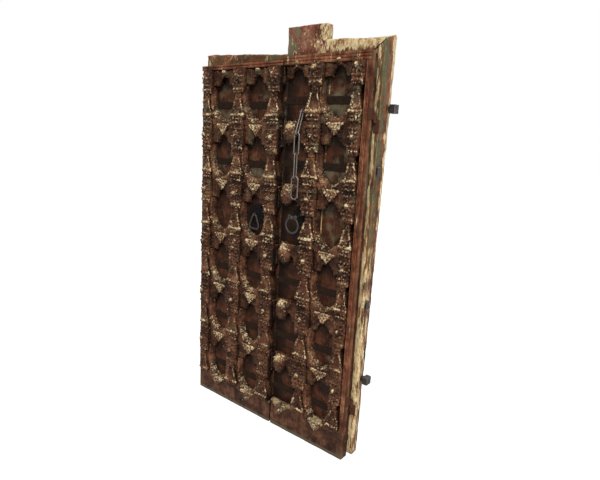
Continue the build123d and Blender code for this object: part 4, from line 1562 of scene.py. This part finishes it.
@dataclass
class TimberFrame:
    """The hewn timbers that the leaves hang on, in millimetres."""

    shop: Workshop
    front_y: float = -30.0
    foot_depth: float = 42.0
    top_depth: float = 95.0
    top: float = 1958.0
    crest_low: float = 24.0
    crest_high: float = 252.0
    leaf_top: float = 1860.0
    leaf_half: float = 522.0
    frame_half: float = 555.0
    corner_loss: float = 28.0
    limed_span: Span = (650.0, 1250.0)
    front_edge: Span = (534.0, 546.0)
    crest_span: Span = (1930.0, 2000.0)
    wear: Weathering = Weathering(6.0, 1, 7.0, 70.0, 3.0, 16.0)
    crest_wear: Weathering = Weathering(5.0, 1, 5.0, 50.0, 2.5, 14.0)
    iron_wear: Weathering = Weathering(1.8, 2, 1.2, 12.0, 0.6, 4.0)

    def jamb_paint(self, place: np.ndarray, normal: np.ndarray) -> Coat:
        """Paint a jamb: pale front and foot, a green and a red band up its side, a pale back edge.

        Args:
            place: each corner's place.
            normal: each corner's normal.

        Returns:
            The coat.
        """
        x, y, z = place.T
        depth = self.foot_depth + (self.top_depth - self.foot_depth) * z / self.top
        back = (y - self.front_y) / depth
        foot = 1 - ease(z, *self.limed_span)
        outer = normal[:, 0] * np.sign(x) > 0.5
        front = normal[:, 1] < -0.5
        waves = waver(place, 210)
        back = back + 0.12 * waves
        foot = np.clip(foot + 0.25 * waver(place, 370), 0, 1)
        cream = 0.16 + 0.46 * foot + 0.15 * waves
        cream = np.where(back > 0.70, 0.70 - 0.54 * foot, cream)
        pale = 1 - ease(np.abs(x) + 5 * waves, *self.front_edge) * (1 - foot)
        cream = np.where(front, 0.2 + 0.50 * pale + 0.2 * waves, cream)
        covered = (np.abs(x) < self.leaf_half) | (normal[:, 1] > 0.5)
        cream = np.where(covered, 0.3 + 0.2 * waves, cream)
        moss = np.where(outer & (back < 0.40), 0.75 - 0.5 * foot, 0.1)
        moss = np.where(front, 0.8 * (1 - pale), moss)
        shade_and_grime = np.where((back > 0.84) & outer, 0.55 * foot, 0.0)
        return Coat(cream, shade_and_grime, moss)

    def head_paint(self, place: np.ndarray, normal: np.ndarray) -> Coat:
        """Paint the head: pale to the right above a brown band, dull to the left.

        Args:
            place: each corner's place.
            normal: each corner's normal, not used.

        Returns:
            The coat.
        """
        x, _, z = place.T
        right = ease(x, self.crest_low, self.crest_high)
        high = ease(z + 9 * waver(place, 140), self.leaf_top + 18, self.leaf_top + 48)
        cream = 0.3 + right * 0.42 * high + 0.18 * waver(place, 190)
        return Coat(cream, np.zeros(len(place)), 0.4 - 0.3 * right + 0.25 * waver(place, 260))

    def crest_paint(self, place: np.ndarray, normal: np.ndarray) -> Coat:
        """Paint the crest block: red in the middle, pale to the right and along the foot, green low left.

        Args:
            place: each corner's place.
            normal: each corner's normal, not used.

        Returns:
            The coat.
        """
        x, _, z = place.T
        waves = waver(place, 120)
        right = ease(x + 25 * waves, self.crest_high - 90, self.crest_high - 20)
        foot = 1 - ease(z + 10 * waves, self.leaf_top + 12, self.leaf_top + 36)
        left = 1 - ease(x + 30 * waves, self.crest_low + 20, self.crest_low + 110)
        cream = np.maximum(0.28 + 0.34 * right, 0.5 * foot) + 0.15 * waves
        return Coat(cream, np.zeros(len(place)), 0.85 * left * (1 - 0.5 * ease(z, *self.crest_span)))

    def worn_corner(self, mesh: Mesh) -> Mesh:
        """Wear down the top front corner at the frame's right end.

        Args:
            mesh: a timber of the frame.

        Returns:
            The same mesh, worn.
        """
        places = np.zeros(len(mesh.vertices) * 3, np.float32)
        mesh.vertices.foreach_get("co", places)
        x, y, z = (places.reshape(-1, 3) / MM).T
        front = 1 - np.clip((y - self.front_y) / self.top_depth, 0, 1)
        right = ease(x, self.crest_high, self.frame_half)
        loss = self.corner_loss * right * front * ease(z, self.leaf_top + 20, self.top)
        places[2::3] -= loss * MM
        mesh.vertices.foreach_set("co", places)
        return mesh

    def build(self) -> None:
        """Make the worn timbers and dress the iron on them."""
        finishes = self.shop.finishes
        for node in ("left_jamb", "right_jamb", "sill"):
            mesh = paint_mesh(self.worn_corner(self.wear.apply(node_mesh(node))), self.jamb_paint)
            add_piece(f"hewn_{node}", mesh, "frame", finishes.jamb, [node])
        mesh = paint_mesh(self.worn_corner(self.wear.apply(node_mesh("head"))), self.head_paint)
        add_piece("hewn_head", mesh, "frame", finishes.head, ["head"])
        mesh = paint_mesh(self.crest_wear.apply(node_mesh("crest_block")), self.crest_paint)
        add_piece("hewn_crest_block", mesh, "frame", finishes.crest, ["crest_block"])
        for node in ("wall_lugs", "side_staples"):
            add_piece(f"forged_{node}", self.iron_wear.apply(node_mesh(node)), "frame",
                      finishes.iron, [node])
        for node in ("left_hinge_hooks", "right_hinge_hooks"):
            dress_node(node, finishes.rusted)


@dataclass
class Ironwork:
    """Ring pulls and door chain, forged by hand, in millimetres."""

    shop: Workshop
    sides: int = 12
    ring_eye: Point = (180.0, -124.0, 1134.0)
    curl_radius: float = 8.5
    curl_spacing: float = 17.0
    curl_rise: float = 5.0
    curl_bar: float = 3.4
    curl_turn: float = 1.6 * math.pi
    curl_steps: int = 24
    left_plate: Point = (-116.0, -58.0, 1105.0)
    left_radius: float = 52.0
    right_plate: Point = (180.0, -58.0, 1134.0)
    right_radius: float = 46.0
    petal_count: int = 12
    # Sizes of the petals and the middle as shares of the plate's radius, and how far they stand proud
    petal_ring: float = 0.74
    petal_share: Span = (0.15, 0.24)
    petal_proud: float = 3.5
    middle_share: float = 0.42
    middle_proud: float = 4.5
    wear: Weathering = Weathering(1.2, 2, 0.7, 9.0, 0.4, 3.0)

    def bar(self, points: Sequence[Point], thick: Sequence[float]) -> Mesh:
        """Forge a bar along points.

        Args:
            points: the bar's middle line.
            thick: the bar's radius at each point.

        Returns:
            The bar's mesh.
        """
        path = bpy.data.meshes.new("bar_path")
        edges = [(step, step + 1) for step in range(len(points) - 1)]
        path.from_pydata([Vector(p) * MM for p in points], edges, [])
        path.attributes.new("thick", "FLOAT", "POINT").data.foreach_set(
            "value", np.array(thick, np.float32) * MM)
        return run_tree(path, self.shop.bars, {"Sides": self.sides})

    def scrolls(self) -> list[Mesh]:
        """Curl the right ring's two ends beside its eye.

        Returns:
            The two curls.
        """
        x, y, z = self.ring_eye
        curls = []
        for way in (-1, 1):
            points, thick = [], []
            for step in range(self.curl_steps + 1):
                share = step / self.curl_steps
                angle = -math.pi / 2 + self.curl_turn * share
                reach = self.curl_radius * (1 - 0.6 * share)
                points.append((x + way * (self.curl_spacing + reach * math.cos(angle)), y,
                               z + self.curl_rise + reach * math.sin(angle)))
                thick.append(self.curl_bar * (1 - 0.35 * share))
            curls.append(self.bar(points, thick))
        return curls

    def petals(self, bed: OrnamentBed, centre: Point, radius: float) -> None:
        """Set a ring of petals and a raised middle on a pull's plate.

        Args:
            bed: gets the shapes.
            centre: middle of the plate's front.
            radius: the plate's radius.
        """
        x, y, z = centre
        reach = self.petal_ring * radius
        width, length = self.petal_share
        for petal in range(self.petal_count):
            angle = 2 * math.pi * petal / self.petal_count
            bed.dome((x + reach * math.sin(angle), y, z + reach * math.cos(angle)),
                     (width * radius, self.petal_proud, length * radius), angle)
        middle = self.middle_share * radius
        bed.dome((x, y, z), (middle, self.middle_proud, middle))

    def build(self) -> None:
        """Make the forged pulls and chain."""
        finishes = self.shop.finishes
        bodies = {"left_pull_eye": "left_leaf", "right_pull_eye": "right_leaf",
                  "chain_staple": "right_leaf", "left_ring": "left_ring", "right_ring": "right_ring"}
        bodies.update({f"chain_link_{number}": f"chain_link_{number}" for number in (1, 2, 3, 4)})
        for node, body in bodies.items():
            extra = self.scrolls() if node == "right_ring" else []
            mesh = self.wear.apply(joined(node_mesh(node), *extra))
            finish = finishes.chain if node.startswith("chain") else finishes.iron
            add_piece(f"forged_{node}", mesh, body, finish, [node])
        for side, centre, radius in (("left", self.left_plate, self.left_radius),
                                     ("right", self.right_plate, self.right_radius)):
            bed = OrnamentBed()
            self.petals(bed, centre, radius)
            node = f"{side}_pull_plate"
            mesh = self.wear.apply(bed.on_node(node, self.shop))
            add_piece(f"forged_{node}", mesh, f"{side}_leaf", finishes.plate, [node])


@dataclass
class Studio:
    """Pale floor, soft lamps and the camera at the photograph's angle, in metres and degrees."""

    camera_place: Point = (1.60316, -1.86988, 1.48964)
    azimuth: float = 38.098
    elevation: float = 11.588
    roll: float = 3.089
    lens_mm: float = 28.72
    sensor_mm: float = 36.0
    clip: Span = (0.05, 200.0)
    aim: Point = (0.0, 0.0, 0.95)
    floor_gap: float = 0.0005
    floor_reach: float = 40.0
    floor_glow: float = 1.22
    floor_glow_share: float = 0.78
    sky: float = 0.22
    key: float = 3.6
    fill: float = 45.0

    def build_camera(self) -> None:
        """Place the camera."""
        a, e, r = (math.radians(x) for x in (self.azimuth, self.elevation, self.roll))
        back = Vector((math.sin(a) * math.cos(e), -math.cos(a) * math.cos(e), math.sin(e)))
        right = Vector((math.cos(a), math.sin(a), 0.0))
        up = back.cross(right)
        turned = right * math.cos(r) + up * math.sin(r)
        raised = up * math.cos(r) - right * math.sin(r)
        matrix = Matrix((turned, raised, back)).transposed().to_4x4()
        matrix.translation = Vector(self.camera_place)
        data = bpy.data.cameras.new("camera")
        data.lens = self.lens_mm
        data.sensor_width = self.sensor_mm
        data.clip_start, data.clip_end = self.clip
        camera = placed("camera", data)
        camera.matrix_world = matrix
        bpy.context.scene.camera = camera

    def build_floor(self, lowest: float) -> None:
        """Lay a white floor that keeps a soft shadow.

        Args:
            lowest: the object's lowest height.
        """
        z = lowest - self.floor_gap
        reach = self.floor_reach
        mesh = bpy.data.meshes.new("floor")
        mesh.from_pydata([(-reach, -reach, z), (reach, -reach, z), (reach, reach, z), (-reach, reach, z)],
                         [], [(0, 1, 2, 3)])
        floor = placed("floor", mesh)
        material = bpy.data.materials.new("white_paper_floor")
        tree = emptied(material)
        path = add_node(tree, "ShaderNodeLightPath")
        seen = self.seen(tree, path)
        shade = add_node(tree, "ShaderNodeBsdfDiffuse", inputs={"Color": linear("#f4f3f1")})
        glow = add_node(tree, "ShaderNodeEmission", inputs={
            "Color": linear("#ffffff"), "Strength": self.floor_glow})
        share = add_node(tree, "ShaderNodeMath", {"operation": "MULTIPLY"}, {
            0: seen, 1: self.floor_glow_share})
        mixed = add_node(tree, "ShaderNodeMixShader", inputs={
            0: share.outputs["Value"], 1: shade.outputs["BSDF"], 2: glow.outputs["Emission"]})
        add_node(tree, "ShaderNodeOutputMaterial", inputs={"Surface": mixed.outputs["Shader"]})
        mesh.materials.append(material)

    def seen(self, tree: Tree, path: Node) -> Socket:
        """One for rays from the camera, in gloss or through glass.

        Args:
            tree: the tree.
            path: its light path node.

        Returns:
            The share.
        """
        gloss = add_node(tree, "ShaderNodeMath", {"operation": "MAXIMUM"}, {
            0: path.outputs["Is Camera Ray"], 1: path.outputs["Is Glossy Ray"]})
        both = add_node(tree, "ShaderNodeMath", {"operation": "MAXIMUM"}, {
            0: gloss.outputs["Value"], 1: path.outputs["Is Transmission Ray"]})
        return both.outputs["Value"]

    def build_light(self) -> None:
        """Set a white backdrop, a plain sky and soft lamps."""
        world = bpy.data.worlds.new("studio")
        bpy.context.scene.world = world
        tree = emptied(world)
        path = add_node(tree, "ShaderNodeLightPath")
        strength = add_node(tree, "ShaderNodeMapRange", inputs={
            "Value": self.seen(tree, path), "To Min": self.sky, "To Max": 1.0})
        back = add_node(tree, "ShaderNodeBackground", inputs={
            "Color": linear("#ffffff"), "Strength": strength.outputs["Result"]})
        add_node(tree, "ShaderNodeOutputWorld", inputs={"Surface": back.outputs["Background"]})
        for name, kind, place, size, power in (("key", "SUN", (1.1, -2.2, 3.4), 0.25, self.key),
                                               ("fill", "AREA", (3.2, -1.0, 2.2), 1.8, self.fill),
                                               ("back", "AREA", (0.5, 3.0, 2.6), 2.4, self.fill)):
            data = bpy.data.lights.new(name, kind)
            setattr(data, "angle" if kind == "SUN" else "size", size)
            data.energy = power
            lamp = placed(name, data)
            lamp.location = Vector(place)
            aim = Vector(self.aim) - lamp.location
            lamp.rotation_euler = aim.to_track_quat("-Z", "Y").to_euler()

    def build(self) -> None:
        """Make the studio."""
        bpy.context.scene.view_settings.view_transform = "Standard"
        self.build_camera()
        self.build_floor(CAD_BOX[0].z)
        self.build_light()


def make_finishes() -> Finishes:
    """Make the door's materials.

    Returns:
        The materials.
    """
    browns = ("#1a0e08", "#392116", "#563625", "#76523b")
    limed = ("#2f1a11", "#543321", "#6e432b", "#86603f")
    cream = ("#d8c59c", "#a08657")
    # Near-black of painted shade and soiling
    shade_and_dirt = "#0f0906"
    # Carved teak in old oil paint: brown, with cream scraps left on what stands proud
    carved = PaintedTimber("worn_painted_teak_carving", browns, ("#dccaa2", "#967850"), shade_and_dirt, "#5b523d",
                           "#9a7856", Grain.UPRIGHT, flake_mm=9.0)
    # Sawn teak behind the carving: darker and redder, with a dull olive dust and no worn or highlit edges
    plank = PaintedTimber("worn_painted_teak_planks", ("#180c07", "#301a10", "#442617", "#533222"),
                          ("#b79a6c", "#8d744e"), shade_and_dirt, "#564f3d", "#5a3c2c", Grain.UPRIGHT,
                          grain_mm=7.0, edge_wear_and_highlight=0.0)
    # Hewn hardwood under limewash: cream streaks along the grain, with open cracks
    jamb = PaintedTimber("weathered_limewashed_jamb", limed, cream, shade_and_dirt, "#4a4a34", "#b7a074",
                         Grain.UPRIGHT, (1.0, 1.0, 0.12), flake_mm=9.0, grain_mm=7.0, crack_level=0.85)
    # The same timber laid across
    head = replace(jamb, name="weathered_limewashed_head", grain=Grain.ACROSS, flake_stretch=(1.0, 1.0, 0.3))
    # Hewn block in red earth paint: dull red, flaked to cream
    crest = PaintedTimber("worn_red_painted_block", ("#3a2016", "#5b3527", "#754a39", "#8c6a55"), cream,
                          shade_and_dirt, "#5a5644", "#a58566", Grain.UPRIGHT, (1.0, 1.0, 0.5), flake_mm=9.0,
                          crack_level=0.8)
    # Planed and oiled teak: a warm, even brown with little paint
    moulding = PaintedTimber("oiled_teak_moulding", ("#381b10", "#59301f", "#73462f", "#8d6248"), cream,
                             shade_and_dirt, "#4a4936", "#a47a5c", Grain.UPRIGHT, (1.0, 1.0, 0.07), grain_mm=6.0,
                             edge_wear_and_highlight=0.5)
    # Iron that hands touch: dark grey, with edges rubbed bright that also stand as painted highlights
    iron = ForgedIron("forged_iron", "#2c2825", "#33231a", "#b5ada2", rust_level=0.4, edge_wear_and_highlight=0.4)
    # Links that rub on one another: the lightest and shiniest iron, with edges rubbed bright that also stand
    # as painted highlights
    chain = ForgedIron("rubbed_chain_iron", "#4f4a45", "#38291f", "#e8e2d8", rust_level=0.35,
                       edge_wear_and_highlight=0.7, roughness=0.4, metal=0.7)
    # Strap iron blackened with age: brown-black, without a shine
    strap = ForgedIron("blackened_strap_iron", "#1f1712", "#2a1c12", "#3c3a38", rust_level=0.8,
                       edge_wear_and_highlight=0.0, roughness=0.8, metal=0.0, shine=0.05)
    # Iron black from the fire: nearly black, with slightly lighter edges
    plate = ForgedIron("fire_blackened_plate_iron", "#0c0b0b", "#19110c", "#2c2a28", rust_level=0.5,
                       edge_wear_and_highlight=0.3, roughness=0.7, metal=0.0, shine=0.07)
    # Iron rusted through its scale: a dull red-brown
    rusted = ForgedIron("rusted_hinge_iron", "#3a2013", "#4c2a18", "#5a3b28", edge_wear_and_highlight=0.0, roughness=0.75,
                        metal=0.05, shine=0.2)
    return Finishes(*(finish.material() for finish in (
        carved, plank, jamb, head, crest, moulding, iron, chain, strap, plate, rusted)))


def main() -> None:
    """Build the studio and the door."""
    logging.basicConfig(level=logging.INFO, format="%(name)s %(message)s")
    Studio().build()
    shop = Workshop(make_finishes(), ornament_tree(), bar_tree())
    left_columns = [Column("left_outer_column", -479.0, strip_x=-513.0), Column("left_middle_column", -237.0),
                    Column("left_meeting_column", 5.0, seam_shadow_x=42.0)]
    right_columns = [Column("right_middle_column", 249.0), Column("right_outer_column", 471.0, 0.76)]
    CarvedLeaf(shop, "left", left_columns, bays=[-358.0, -116.0], lined_bays=[-358.0, -116.0], pale_lines=[],
               first_ledge=1858.0, foot=104.0, nosed=False, bell_cream_and_light=0.28, floor_moss=0.05,
               pull_x=-116.0, pull_z=1075.0).build()
    CarvedLeaf(shop, "right", right_columns, bays=[132.0, 365.0], lined_bays=[365.0], pale_lines=[302.0],
               first_ledge=1878.0, foot=128.0, nosed=True, bell_cream_and_light=0.34, floor_moss=0.25,
               pull_x=180.0, pull_z=1100.0, moulding_rise=16.0).build()
    TimberFrame(shop).build()
    Ironwork(shop).build()


if __name__ == "__main__":
    main()
